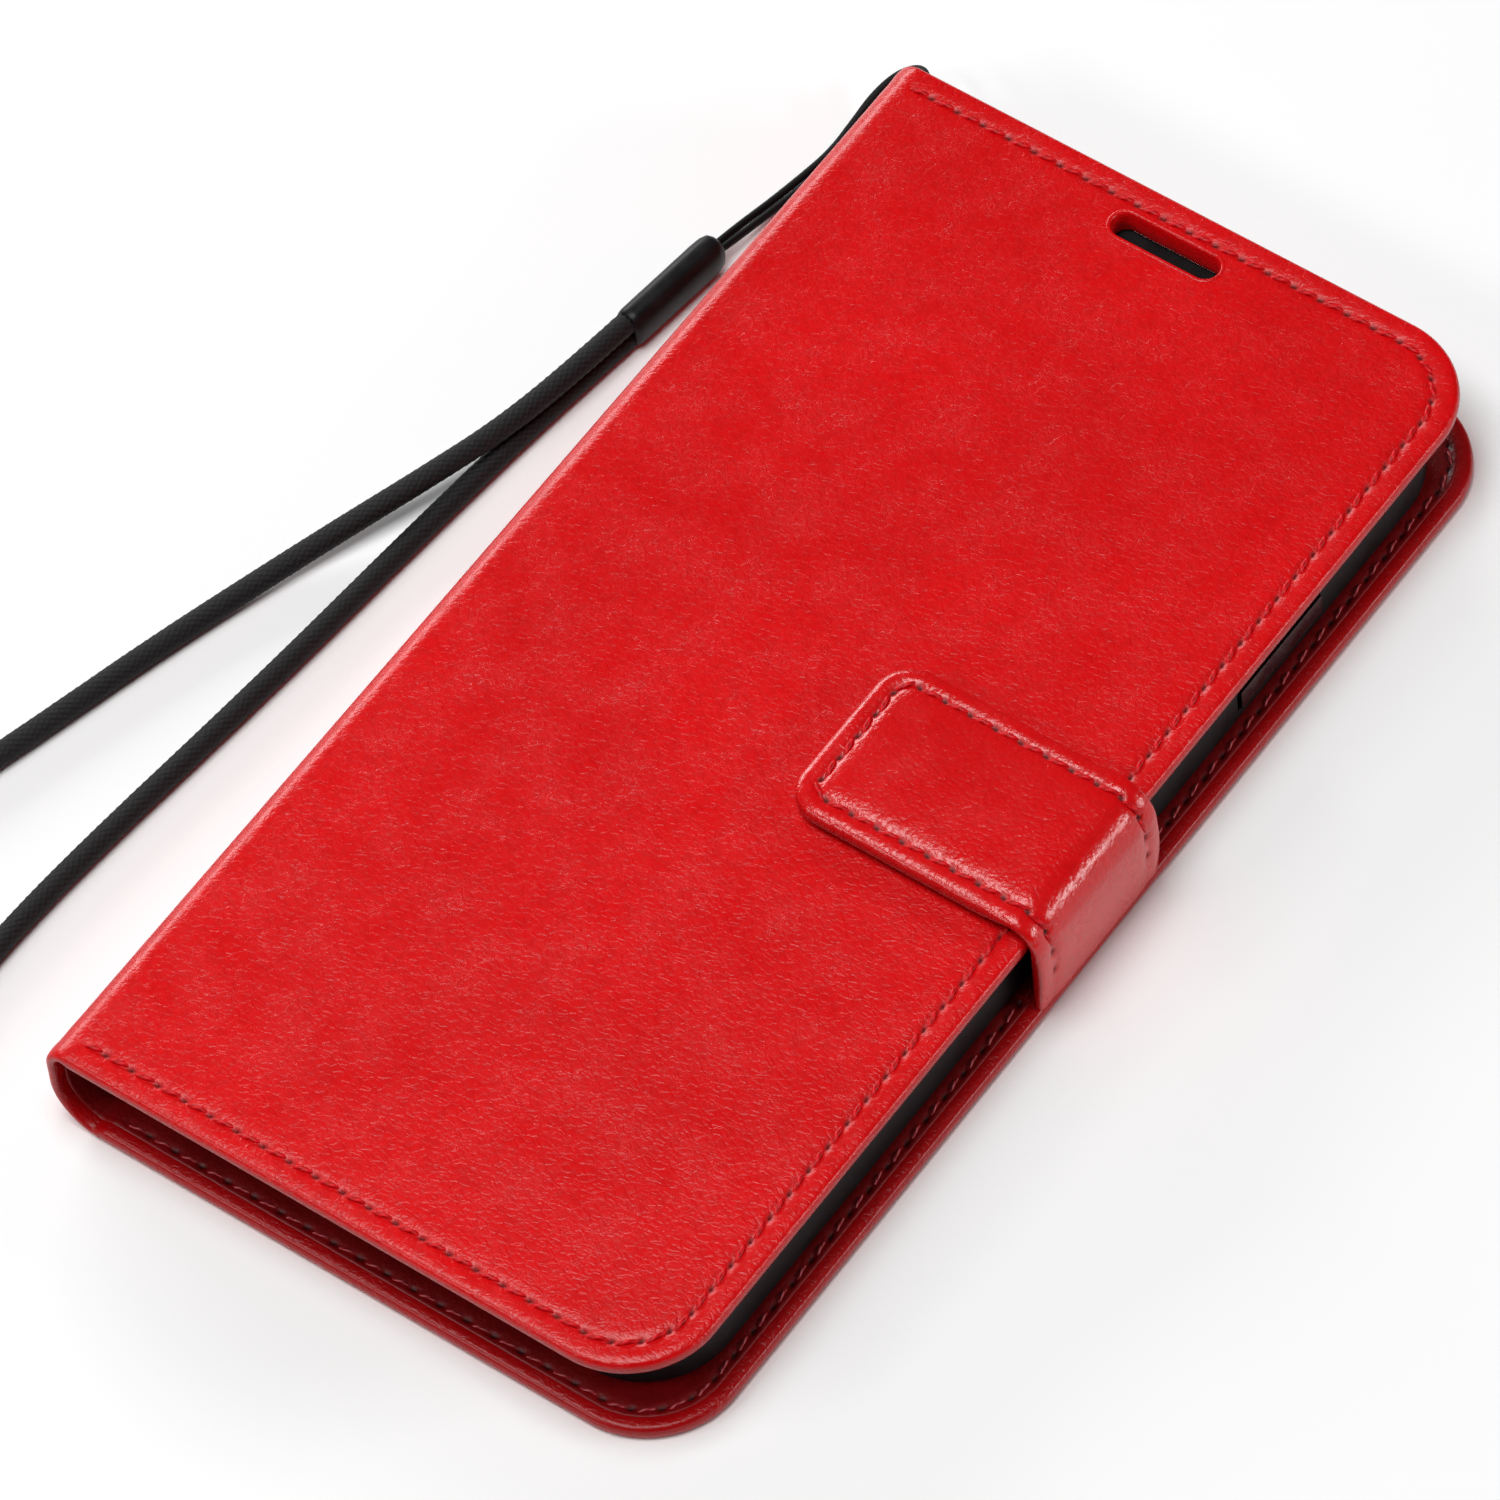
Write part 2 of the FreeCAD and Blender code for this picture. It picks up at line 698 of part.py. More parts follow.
def pocket_stitching():
    pitch = number("stitch_pitch")
    left = number(POCKET_LEFT) + 1.6
    right = number(POCKET_RIGHT) - 0.5
    bottom = number(POCKET_BOTTOM) + 1.5
    top = number(HALF_LENGTH) - 20
    places = list(run_of_points(V(left, top, 0), V(left, bottom + 7, 0), pitch))
    places += run_of_points(V(left + 7, bottom, 0), V(right - 8, bottom, 0), pitch)
    level = number(FRONT_UNDER) - number("pocket") - number("stitch_height")
    made_piece("pocket_stitching", stitches(places, level))


# ---------------------------------------------------------------- wrist strap

# Points of the thin hitching cord: from the ferrule over the bottom of the spine's top corner,
# into the hollow of the spine, round the tray's post and back beside itself.
HITCH_ROUTE = [
    V(-47.95, 52.2, 2.7), V(-47.8, 56.4, 1.7), V(-47.3, 61.2, 0.7), V(-46.4, 66.6, 0.5),
    V(-45.6, 71.2, 0.65), V(-45.5, 75.4, 1.4), V(-45.2, 79.1, 2.8), V(-43.9, 82.1, 4.4),
    V(-41.6, 83.3, 6.0), V(-39.3, 82.0, 7.3), V(-38.2, 78.3, 8.1), V(-37.9, 71.9, 8.45),
    V(-37.8, 64.4, 8.4), V(-37.75, 59.1, 8.4),
    V(-37.75, 59.1, 4.2), V(-37.8, 63.6, 4.2), V(-37.9, 69.6, 4.1), V(-37.95, 75.4, 4.15),
    V(-38.3, 79.8, 4.1), V(-39.3, 82.7, 3.9), V(-41.5, 84.1, 3.4), V(-43.6, 82.9, 2.6),
    V(-44.3, 79.7, 1.6), V(-44.1, 75.6, 0.8), V(-44.5, 70.9, 0.5), V(-45.5, 65.2, 0.55),
    V(-46.5, 58.5, 1.2), V(-47.0, 52.2, 2.7),
]

# Points of the braided cord, which leaves the ferrule below, runs round the loop for the hand
# and comes back into the ferrule on top of itself.
LOOP_ROUTE = [
    V(-49.2, 37.2, 1.4), V(-50.6, 26.5, 1.4), V(-51.9, 14.0, 1.4), V(-53.2, -1.0, 1.4),
    V(-54.4, -17.0, 1.4), V(-55.9, -33.0, 1.4), V(-57.5, -48.5, 1.4), V(-58.5, -63.0, 1.4),
    V(-58.2, -77.0, 1.4), V(-60.2, -89.5, 1.4), V(-67.0, -99.0, 1.4), V(-77.5, -100.5, 1.4),
    V(-84.5, -92.5, 1.4), V(-85.0, -80.5, 1.4), V(-81.0, -67.5, 1.4), V(-75.8, -53.5, 1.4),
    V(-71.8, -39.5, 1.4), V(-68.0, -25.5, 1.4), V(-63.9, -12.5, 1.5), V(-59.6, -1.5, 2.6),
    V(-55.4, 8.0, 4.0), V(-52.3, 17.6, 4.1), V(-50.4, 27.6, 4.1), V(-49.2, 37.2, 4.1),
]


def rounded_path(points, name):
    """Straight runs joined by tangent arcs, each as large as its two runs allow."""
    edges = []
    last = points[0]
    radii = []
    for before, corner, after in zip(points, points[1:], points[2:]):
        come = corner - before
        go = after - corner
        turn = come.getAngle(go)
        shorter = min(come.Length, go.Length)
        radius = 0.45 * shorter / math.tan(turn / 2)
        radii.append(round(radius, 1))
        reach = 0.45 * shorter
        come.normalize()
        go.normalize()
        start = corner - come * reach
        end = corner + go * reach
        inward = go - come
        inward.normalize()
        crown = corner + inward * (radius / math.cos(turn / 2) - radius)
        edges.append(Part.LineSegment(last, start).toShape())
        edges.append(Part.Arc(start, crown, end).toShape())
        last = end
    edges.append(Part.LineSegment(last, points[-1]).toShape())
    print(name, "bend radii:", radii)
    return Part.Wire(edges)


def cord(label, points, diameter):
    """A round cord along a route, checked against its section times its length."""
    path = rounded_path(points, label)
    circle = Part.Circle(points[0], points[1] - points[0], diameter / 2)
    section = Part.Wire([circle.toShape()])
    solid = path.makePipeShell([section], True, True)
    expected = path.Length * math.pi * diameter ** 2 / 4
    print(label, "length", round(path.Length, 1), "volume", round(solid.Volume, 2),
          "expected", round(expected, 2))
    if abs(solid.Volume - expected) > 0.01 * expected:
        raise RuntimeError(f"{label}: volume is not section times length")
    return made_piece(label, solid)


def lanyard_ferrule():
    """An oval sleeve standing on edge, which grips both cords."""
    body = new_body("lanyard_ferrule")
    sketch = new_sketch(body, "ferrule_oval", "XZ_Plane")
    tall = number("ferrule_height / 2")
    wide = number("ferrule_width / 2")
    oval = Part.Ellipse(V(0, tall, 0), V(wide, 0, 0), V(0, 0, 0))
    sketch.addGeometry(oval)
    sketch.exposeInternalGeometry(0)
    bind(sketch, Sketcher.Constraint("DistanceX", -1, 1, 0, 3, 0), "side", "0")
    bind(sketch, Sketcher.Constraint("DistanceY", -1, 1, 0, 3, 0), "level", "0")
    bind(sketch, Sketcher.Constraint("DistanceY", 1, 1, 1, 2, -2 * tall), "tall",
         "-ferrule_height")
    bind(sketch, Sketcher.Constraint("DistanceX", 2, 1, 2, 2, 2 * wide), "wide",
         "ferrule_width")
    feature = pad(body, sketch, "ferrule_length")
    feature.Reversed = True
    foot = LOOP_ROUTE[0]
    head = HITCH_ROUTE[0] + (HITCH_ROUTE[-1] - HITCH_ROUTE[0]) * 0.5
    lean = math.degrees(math.atan2(head.x - foot.x, head.y - foot.y))
    body.Placement = FreeCAD.Placement(V(foot.x, foot.y, tall), FreeCAD.Rotation(V(0, 0, 1), -lean))
    return body


# ---------------------------------------------------------------- build and write

back_skin()
back_board()
back_lining()
strap_root()
phone_tray()
key_pad("power_key_pad", f"{TRAY_RIGHT} - tray_wall", f"{TRAY_RIGHT} + key_proud",
        "power_at", "power_length")
for place, name in enumerate(("volume_up_key_pad", "volume_down_key_pad")):
    key_pad(name, f"{TRAY_LEFT} - key_proud", f"{TRAY_LEFT} + tray_wall",
            f"volume_at - {place} * volume_pitch", "volume_length")
spine_strip("spine_skin", "lower_fold", "skin", HALF_LENGTH)
spine_strip("spine_lining", "lower_fold - skin", "lining", f"{HALF_LENGTH} - 1.7")
front_skin()
front_board()
front_panel("front_lining", FRONT_UNDER, "lining", "0.2")
keeper_plate()
cash_pocket_panel()
card_slot_panel("card_slot_lower", f"{POCKET_BOTTOM} + 3", "-slot_reach")
card_slot_panel("card_slot_middle", "-slot_reach + 0.3", "0")
card_slot_panel("card_slot_upper", "0.3", "slot_reach")
strap_side("strap_side_skin", STRAP_FACE, STRAP_OUT)
strap_side("strap_side_lining", STRAP_IN, STRAP_FACE)
strap_tab_skin()
strap_tab_lining()
strap_filler()
strap_magnet("upper_strap_magnet", 1)
strap_magnet("lower_strap_magnet", -1)
cover_stitching()
strap_stitching()
pocket_stitching()
lanyard_ferrule()
cord("hitching_cord", HITCH_ROUTE, number("thread_diameter"))
cord("wrist_cord", LOOP_ROUTE, number("cord_diameter"))
doc.recompute()

for item in doc.Objects:
    if "Invalid" in item.State or "Error" in item.State:
        raise RuntimeError(f"{item.Label} failed: {item.State}")

pieces = [p for p in doc.Objects if p.TypeId in ("PartDesign::Body", "Part::Feature")]
os.makedirs("parts", exist_ok=True)
for piece in pieces:
    if piece.Shape.isNull() or not piece.Shape.isValid():
        raise RuntimeError(f"{piece.Label} has no valid shape")
    piece.Shape.exportStep(f"parts/{piece.Label}.step")
print(len(pieces), "pieces written")
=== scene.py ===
"""A leather phone wallet case with a magnetic strap and a braided wrist strap, on a pale floor.

Lengths in this script are millimetres.
"""

import math

import bmesh
import bpy
from mathutils import Matrix, Vector


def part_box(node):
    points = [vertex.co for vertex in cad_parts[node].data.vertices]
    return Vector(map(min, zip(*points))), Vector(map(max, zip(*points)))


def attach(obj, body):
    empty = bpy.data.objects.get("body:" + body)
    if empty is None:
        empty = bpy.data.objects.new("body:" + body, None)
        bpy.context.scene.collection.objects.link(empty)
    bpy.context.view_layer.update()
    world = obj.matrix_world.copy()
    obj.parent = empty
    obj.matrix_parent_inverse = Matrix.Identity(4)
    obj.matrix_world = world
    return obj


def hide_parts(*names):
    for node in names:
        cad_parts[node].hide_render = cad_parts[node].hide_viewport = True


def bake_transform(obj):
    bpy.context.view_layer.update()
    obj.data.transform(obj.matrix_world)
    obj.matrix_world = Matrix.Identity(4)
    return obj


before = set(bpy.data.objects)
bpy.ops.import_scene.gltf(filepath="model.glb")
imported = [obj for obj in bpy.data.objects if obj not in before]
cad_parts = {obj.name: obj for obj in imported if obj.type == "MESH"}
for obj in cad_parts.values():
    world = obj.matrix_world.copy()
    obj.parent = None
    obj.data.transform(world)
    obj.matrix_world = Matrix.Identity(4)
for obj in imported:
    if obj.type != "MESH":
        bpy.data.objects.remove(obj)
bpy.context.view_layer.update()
scene = bpy.context.scene
MM = 0.001


def box_mm(node):
    """Lowest and highest corner of a CAD node, in millimetres."""
    low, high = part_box(node)
    return low / MM, high / MM


# ---------------------------------------------------------------- camera

AZIMUTH = math.radians(40.684)
ELEVATION = math.radians(54.968)
ROLL = math.radians(-6.301)
CAMERA_DISTANCE = 1200
LENS = 266.3
CAMERA_ASIDE = -4.88        # the case's origin lies a little right of and below the view's centre
CAMERA_RAISE = 2.63
CLIP_NEAR = 50
CLIP_FAR = 10000


def add_camera():
    """Look at the case from the azimuth and elevation, rolled, and shifted across the view."""
    back = Vector((
        math.sin(AZIMUTH) * math.cos(ELEVATION),
        -math.cos(AZIMUTH) * math.cos(ELEVATION),
        math.sin(ELEVATION),
    ))
    level = Vector((math.cos(AZIMUTH), math.sin(AZIMUTH), 0))
    upright = back.cross(level)
    right = level * math.cos(ROLL) + upright * math.sin(ROLL)
    up = upright * math.cos(ROLL) - level * math.sin(ROLL)
    place = back * CAMERA_DISTANCE + right * CAMERA_ASIDE + up * CAMERA_RAISE
    data = bpy.data.cameras.new("camera")
    data.lens = LENS
    data.clip_start = CLIP_NEAR * MM
    data.clip_end = CLIP_FAR * MM
    camera = bpy.data.objects.new("camera", data)
    scene.collection.objects.link(camera)
    turn = Matrix((right, up, back)).transposed().to_4x4()
    camera.matrix_world = Matrix.Translation(place * MM) @ turn
    scene.camera = camera


add_camera()


# ---------------------------------------------------------------- cords' routes

# From the ferrule under the spine's top corner, into the hollow of the spine, round the tray's
# post and back beside itself.
HITCH_ROUTE = [
    (-47.95, 52.2, 2.7), (-47.8, 56.4, 1.7), (-47.3, 61.2, 0.7), (-46.4, 66.6, 0.5),
    (-45.6, 71.2, 0.65), (-45.5, 75.4, 1.4), (-45.2, 79.1, 2.8), (-43.9, 82.1, 4.4),
    (-41.6, 83.3, 6.0), (-39.3, 82.0, 7.3), (-38.2, 78.3, 8.1), (-37.9, 71.9, 8.45),
    (-37.8, 64.4, 8.4), (-37.75, 59.1, 8.4),
    (-37.75, 59.1, 4.2), (-37.8, 63.6, 4.2), (-37.9, 69.6, 4.1), (-37.95, 75.4, 4.15),
    (-38.3, 79.8, 4.1), (-39.3, 82.7, 3.9), (-41.5, 84.1, 3.4), (-43.6, 82.9, 2.6),
    (-44.3, 79.7, 1.6), (-44.1, 75.6, 0.8), (-44.5, 70.9, 0.5), (-45.5, 65.2, 0.55),
    (-46.5, 58.5, 1.2), (-47.0, 52.2, 2.7),
]
HITCH_DIAMETER = 0.9

# Out of the ferrule below, round the loop for the hand, and back into it on top of itself.
LOOP_ROUTE = [
    (-49.2, 37.2, 1.4), (-50.6, 26.5, 1.4), (-51.9, 14.0, 1.4), (-53.2, -1.0, 1.4),
    (-54.4, -17.0, 1.4), (-55.9, -33.0, 1.4), (-57.5, -48.5, 1.4), (-58.5, -63.0, 1.4),
    (-58.2, -77.0, 1.4), (-60.2, -89.5, 1.4), (-67.0, -99.0, 1.4), (-77.5, -100.5, 1.4),
    (-84.5, -92.5, 1.4), (-85.0, -80.5, 1.4), (-81.0, -67.5, 1.4), (-75.8, -53.5, 1.4),
    (-71.8, -39.5, 1.4), (-68.0, -25.5, 1.4), (-63.9, -12.5, 1.5), (-59.6, -1.5, 2.6),
    (-55.4, 8.0, 4.0), (-52.3, 17.6, 4.1), (-50.4, 27.6, 4.1), (-49.2, 37.2, 4.1),
]
LOOP_DIAMETER = 2.7
ROUTE_ORDER = 3             # each stretch of a route bends with three of its points


def smooth_line(name, route, resolution):
    """A NURBS curve object with the route's points as its control points."""
    data = bpy.data.curves.new(name, "CURVE")
    data.dimensions = "3D"
    spline = data.splines.new("NURBS")
    spline.points.add(len(route) - 1)
    for point, (x, y, z) in zip(spline.points, route):
        point.co = (x * MM, y * MM, z * MM, 1)
    spline.order_u = ROUTE_ORDER
    spline.use_endpoint_u = True
    data.resolution_u = resolution
    spline.resolution_u = resolution
    line = bpy.data.objects.new(name, data)
    scene.collection.objects.link(line)
    return line


# ---------------------------------------------------------------- node materials

FLAT = "flat"
UV_MM = 100.0           # one unit of the flat map is this many millimetres
HOLE = "hole"           # where a needle went through: the colour there is painted darker as shade in the hole, and rougher
EDGE_SHADE = "turned"       # the turned edge, painted darker as shade: it lies in the cover's shade
STRAND = "strand"       # how high the braid's strand stands there, also used for its painted highlight and shade
MIX_FACTOR, MIX_FIRST, MIX_SECOND, MIX_RESULT = 0, 6, 7, 2      # the colour mix's own sockets


class Recipe:
    """A Principled material and short ways to add and join its nodes."""

    def __init__(self, name, **shader):
        self.material = bpy.data.materials.new(name)
        self.material.use_nodes = True
        self.tree = self.material.node_tree
        self.shader = self.tree.nodes["Principled BSDF"]
        for socket, value in shader.items():
            self.shader.inputs[socket.replace("_", " ")].default_value = value

    def add(self, kind, inputs=None, **settings):
        node = self.tree.nodes.new(kind)
        for setting, value in settings.items():
            setattr(node, setting, value)
        for socket, value in (inputs or {}).items():
            if isinstance(value, bpy.types.NodeSocket):
                self.tree.links.new(value, node.inputs[socket])
            else:
                node.inputs[socket].default_value = value
        return node

    def math(self, operation, first, second=0.0, clamp=False):
        node = self.add("ShaderNodeMath", {0: first, 1: second}, operation=operation)
        node.use_clamp = clamp
        return node.outputs[0]

    def total(self, *parts):
        """The sum of the parts, each a value and its weight."""
        result, *others = [self.math("MULTIPLY", value, weight) for value, weight in parts]
        for other in others:
            result = self.math("ADD", result, other)
        return result

    def noise(self, place, scale, detail=2.0, roughness=0.5):
        inputs = {"Vector": place, "Scale": scale, "Detail": detail, "Roughness": roughness}
        return self.add("ShaderNodeTexNoise", inputs).outputs["Fac"]

    def cells(self, place, scale, feature="F1"):
        inputs = {"Vector": place, "Scale": scale}
        return self.add("ShaderNodeTexVoronoi", inputs, feature=feature).outputs["Distance"]

    def ridges(self, place, scale, width):
        """Wandering lines: 1 where a noise crosses its middle value, 0 beyond the width."""
        away = self.math("SUBTRACT", self.noise(place, scale, 3.0, 0.6), 0.5)
        return self.span(self.math("ABSOLUTE", away), 0.0, width, 1.0, 0.0)

    def span(self, value, low, high, new_low=0.0, new_high=1.0):
        """The value's range from low to high, clamped and laid over another range."""
        inputs = {"Value": value, "From Min": low, "From Max": high,
                  "To Min": new_low, "To Max": new_high}
        return self.add("ShaderNodeMapRange", inputs).outputs["Result"]

    def mix(self, factor, first, second):
        """Between two colours, each a socket or three numbers."""
        first, second = (colour if isinstance(colour, bpy.types.NodeSocket) else (*colour, 1)
                         for colour in (first, second))
        inputs = {MIX_FACTOR: factor, MIX_FIRST: first, MIX_SECOND: second}
        return self.add("ShaderNodeMix", inputs, data_type="RGBA").outputs[MIX_RESULT]

    def warp(self, place, scale, amount):
        """The place pushed about by a slow noise, so that what follows it is irregular."""
        inputs = {"Vector": place, "Scale": scale, "Detail": 2.0}
        drift = self.add("ShaderNodeTexNoise", inputs).outputs["Color"]
        centred = self.vector("SUBTRACT", {0: drift, 1: (0.5, 0.5, 0.5)})
        scaled = self.vector("SCALE", {0: centred, "Scale": amount})
        return self.vector("ADD", {0: place, 1: scaled})

    def vector(self, operation, inputs):
        return self.add("ShaderNodeVectorMath", inputs, operation=operation).outputs[0]

    def stretch(self, place, factors):
        return self.vector("MULTIPLY", {0: place, 1: factors})

    def object_mm(self):
        """The place on the object, in millimetres."""
        place = self.add("ShaderNodeTexCoord").outputs["Object"]
        return self.stretch(place, (1 / MM, 1 / MM, 1 / MM))

    def flat_mm(self):
        """The place on the sheet before it was folded, in millimetres."""
        place = self.add("ShaderNodeUVMap", uv_map=FLAT).outputs["UV"]
        return self.stretch(place, (UV_MM, UV_MM, UV_MM))

    def attribute(self, name):
        return self.add("ShaderNodeAttribute", attribute_name=name).outputs["Fac"]

    def finish(self, colour=None, roughness=None, height=None, relief=0.1, strength=1.0):
        """Join the results to the shader; relief is the height's full depth in millimetres."""
        if colour is not None:
            self.tree.links.new(colour, self.shader.inputs["Base Color"])
        if roughness is not None:
            self.tree.links.new(roughness, self.shader.inputs["Roughness"])
        if height is not None:
            inputs = {"Strength": strength, "Distance": relief * MM, "Height": height}
            bump = self.add("ShaderNodeBump", inputs)
            self.tree.links.new(bump.outputs["Normal"], self.shader.inputs["Normal"])
        return self.material


def outer_leather(name, grain, pebble, wrinkle, rough, shine):
    """Coated leather: a fine pebble, wandering creases and a slow drift of colour and gloss.

    grain is how fine the pebbles are, pebble and wrinkle are how deep they and the creases lie.
    """
    r = Recipe(name, Specular_IOR_Level=shine, Coat_Weight=0.10, Coat_Roughness=0.16)
    flat = r.flat_mm()
    wandering = r.warp(flat, 0.22, 3.2)
    patchy = r.noise(flat, 0.16, 3.0, 0.6)
    crease = r.math("MULTIPLY", r.ridges(wandering, 0.45, 0.07), r.span(patchy, 0.38, 0.6))
    squeezed = r.stretch(r.warp(flat, 0.7, 1.3), (1.0, 1.7, 1.0))
    short_crease = r.span(r.cells(squeezed, 0.75, "DISTANCE_TO_EDGE"), 0.0, 0.2)
    pebbles = r.cells(r.warp(flat, 1.4, 0.35), grain)
    pores = r.noise(flat, grain * 2.4, 3.0, 0.6)
    slow = r.noise(flat, 0.035, 2.0)
    height = r.total((pebbles, -pebble), (pores, 0.35 * pebble), (crease, 0.55 * wrinkle),
                     (short_crease, 0.5 * wrinkle))
    worn = r.span(r.math("ADD", crease, patchy), 0.5, 1.45)
    dark_red, light_red, worn_red = (0.54, 0.001, 0.0022), (0.61, 0.0015, 0.0031), (0.64, 0.005, 0.009)
    pore_red, hole_shade_red, edge_shade_red = (0.38, 0.001, 0.002), (0.10, 0.0005, 0.0012), (0.16, 0.0005, 0.002)
    hole = r.attribute(HOLE)
    colour = r.mix(r.span(slow, 0.35, 0.65), dark_red, light_red)
    colour = r.mix(r.math("MULTIPLY", worn, 0.15), colour, worn_red)
    colour = r.mix(r.span(pebbles, 0.35, 0.85, 0.0, 0.30), colour, pore_red)
    # painted shade: the needle holes are darkened as shade falls in them
    colour = r.mix(r.span(hole, 0.05, 0.85), colour, hole_shade_red)
    # painted shade: the turned edges and the hem under them are darkened to stand in for the shade they
    # lie in
    colour = r.mix(r.math("MULTIPLY", r.attribute(EDGE_SHADE), 0.5), colour, edge_shade_red)
    roughness = r.span(patchy, 0.3, 0.7, rough, rough + 0.1)
    roughness = r.math("ADD", roughness, r.math("MULTIPLY", hole, 0.7), clamp=True)
    return r.finish(colour, roughness, height, relief=0.062)


def lining_leather():
    """Smooth lining with a faint printed grain, more matt than the outside; its darker colour is partly
    its own and partly painted shade for the shaded inside.
    """
    r = Recipe("lining_leather", Specular_IOR_Level=0.4)
    flat = r.flat_mm()
    pebbles = r.cells(r.warp(flat, 1.1, 0.4), 1.9)
    patchy = r.noise(flat, 0.12, 3.0, 0.6)
    pores = r.noise(flat, 5.0, 2.0)
    height = r.math("SUBTRACT", r.math("MULTIPLY", pores, 0.3), pebbles)
    # darker than the outer leather: partly the lining's own colour, partly painted shade for the shaded
    # inside and shelf
    colour = r.mix(r.span(patchy, 0.3, 0.7), (0.22, 0.0010, 0.0026), (0.30, 0.0016, 0.004))
    colour = r.mix(r.span(pebbles, 0.4, 0.9, 0.0, 0.35), colour, (0.15, 0.0008, 0.002))
    # painted shade: the needle holes are darkened as shade falls in them
    colour = r.mix(r.span(r.attribute(HOLE), 0.05, 0.85), colour, (0.04, 0.0005, 0.001))
    return r.finish(colour, r.span(patchy, 0.3, 0.7, 0.38, 0.5), height, 0.06, 0.8)


def thread_finish(name, dark, light):
    """Twisted waxed thread: two plies that wind round each other."""
    r = Recipe(name, Specular_IOR_Level=0.2)
    flat = r.flat_mm()
    ply = r.add("ShaderNodeTexWave", {"Vector": flat, "Scale": 0.55, "Distortion": 0.6},
                bands_direction="DIAGONAL").outputs["Fac"]
    fibres = r.noise(flat, 9.0, 2.0)
    colour = r.mix(r.math("MULTIPLY", ply, r.span(fibres, 0.2, 0.8, 0.7, 1.0)), dark, light)
    return r.finish(colour, r.span(fibres, 0.3, 0.7, 0.32, 0.5), ply, 0.06, 0.8)


def moulded_rubber(name, shine, texture, smear, tones, colours, rough, relief):
    """Black rubber with the mould's fine texture, and slow smears of tone and gloss.

    texture and smear are a noise's scale, detail and roughness; relief is its depth and strength.
    """
    r = Recipe(name, Specular_IOR_Level=shine)
    place = r.object_mm()
    grain = r.noise(place, *texture)
    smears = r.noise(place, *smear)
    colour = r.mix(r.span(smears, *tones), *colours)
    return r.finish(colour, r.span(smears, 0.3, 0.7, *rough), grain, *relief)


def tray_rubber():
    colours = (0.0025, 0.0025, 0.003), (0.006, 0.006, 0.0065)
    return moulded_rubber("tray_rubber", 0.18, (3.2, 3.0, 0.6), (0.2, 4.0, 0.65), (0.35, 0.75), colours,
                          rough=(0.42, 0.58), relief=(0.03, 0.5))


def key_rubber():
    colours = (0.002, 0.002, 0.0025), (0.005, 0.005, 0.0055)
    return moulded_rubber("key_rubber", 0.55, (4.0, 2.0), (0.4, 3.0), (0.3, 0.7), colours,
                          rough=(0.16, 0.26), relief=(0.015, 0.4))


def ferrule_rubber():
    colours = (0.003, 0.003, 0.0033), (0.007, 0.007, 0.0075)
    return moulded_rubber("ferrule_rubber", 0.2, (5.0, 3.0, 0.6), (0.5, 3.0), (0.3, 0.7), colours,
                          rough=(0.36, 0.46), relief=(0.03, 0.6))


def fibre_board():
    r = Recipe("fibre_board", Specular_IOR_Level=0.2)
    place = r.object_mm()
    fibres = r.noise(r.stretch(r.warp(place, 0.4, 2.0), (0.35, 2.4, 1.0)), 1.6, 4.0, 0.7)
    flecks = r.cells(place, 1.1)
    colour = r.mix(r.span(fibres, 0.3, 0.7), (0.33, 0.28, 0.22), (0.52, 0.47, 0.39))
    colour = r.mix(r.span(flecks, 0.0, 0.14, 0.5, 0.0), colour, (0.2, 0.16, 0.12))
    return r.finish(colour, r.span(fibres, 0.3, 0.7, 0.8, 0.95), fibres, 0.08, 0.8)


def foam():
    r = Recipe("foam", Specular_IOR_Level=0.2)
    place = r.object_mm()
    bubbles = r.cells(place, 2.6)
    colour = r.mix(r.span(bubbles, 0.1, 0.7), (0.50, 0.49, 0.45), (0.78, 0.77, 0.72))
    return r.finish(colour, r.span(bubbles, 0.0, 0.8, 0.8, 0.95), bubbles, 0.15, 1.0)


def plated_metal(name, tint, rolled):
    """Sheet or plated metal with rolling marks along Y and faint blotches."""
    r = Recipe(name, Metallic=1.0)
    place = r.object_mm()
    marks = r.noise(r.stretch(place, (6.0, 0.25, 6.0)), 1.5, 3.0, 0.6)
    blotches = r.noise(place, 0.35, 3.0, 0.6)
    darker = tuple(channel * 0.72 for channel in tint)
    colour = r.mix(r.span(blotches, 0.3, 0.7), darker, tint)
    roughness = r.span(r.math("MULTIPLY", marks, rolled), 0.1, 0.6, 0.16, 0.42)
    return r.finish(colour, roughness, marks, 0.02, 0.5)


def braided_textile():
    """Black braid: the strands' own relief is in the mesh, this adds the yarn within them and paints
    the strands' crowns lighter as highlight and their dips darker as shade.
    """
    r = Recipe("cord_textile", Specular_IOR_Level=0.2)
    flat = r.flat_mm()
    yarn = r.noise(r.stretch(flat, (4.0, 4.0, 1.0)), 1.5, 3.0, 0.7)
    fuzz = r.noise(flat, 9.0, 2.0)
    strand = r.attribute(STRAND)
    # painted highlight on the strands' crowns, painted shade in the dips between them
    colour = r.mix(strand, (0.0008, 0.0008, 0.001), (0.02, 0.02, 0.021))
    colour = r.mix(r.span(fuzz, 0.55, 0.8, 0.0, 0.35), colour, (0.025, 0.025, 0.026))
    return r.finish(colour, r.span(yarn, 0.3, 0.7, 0.5, 0.72), yarn, 0.08, 0.8)


def floor_finish():
    r = Recipe("floor", Specular_IOR_Level=0.15)
    place = r.object_mm()
    drift = r.noise(place, 0.01, 2.0)
    colour = r.mix(r.span(drift, 0.3, 0.7), (0.86, 0.86, 0.86), (0.88, 0.88, 0.88))
    return r.finish(colour, r.span(drift, 0.3, 0.7, 0.7, 0.8))


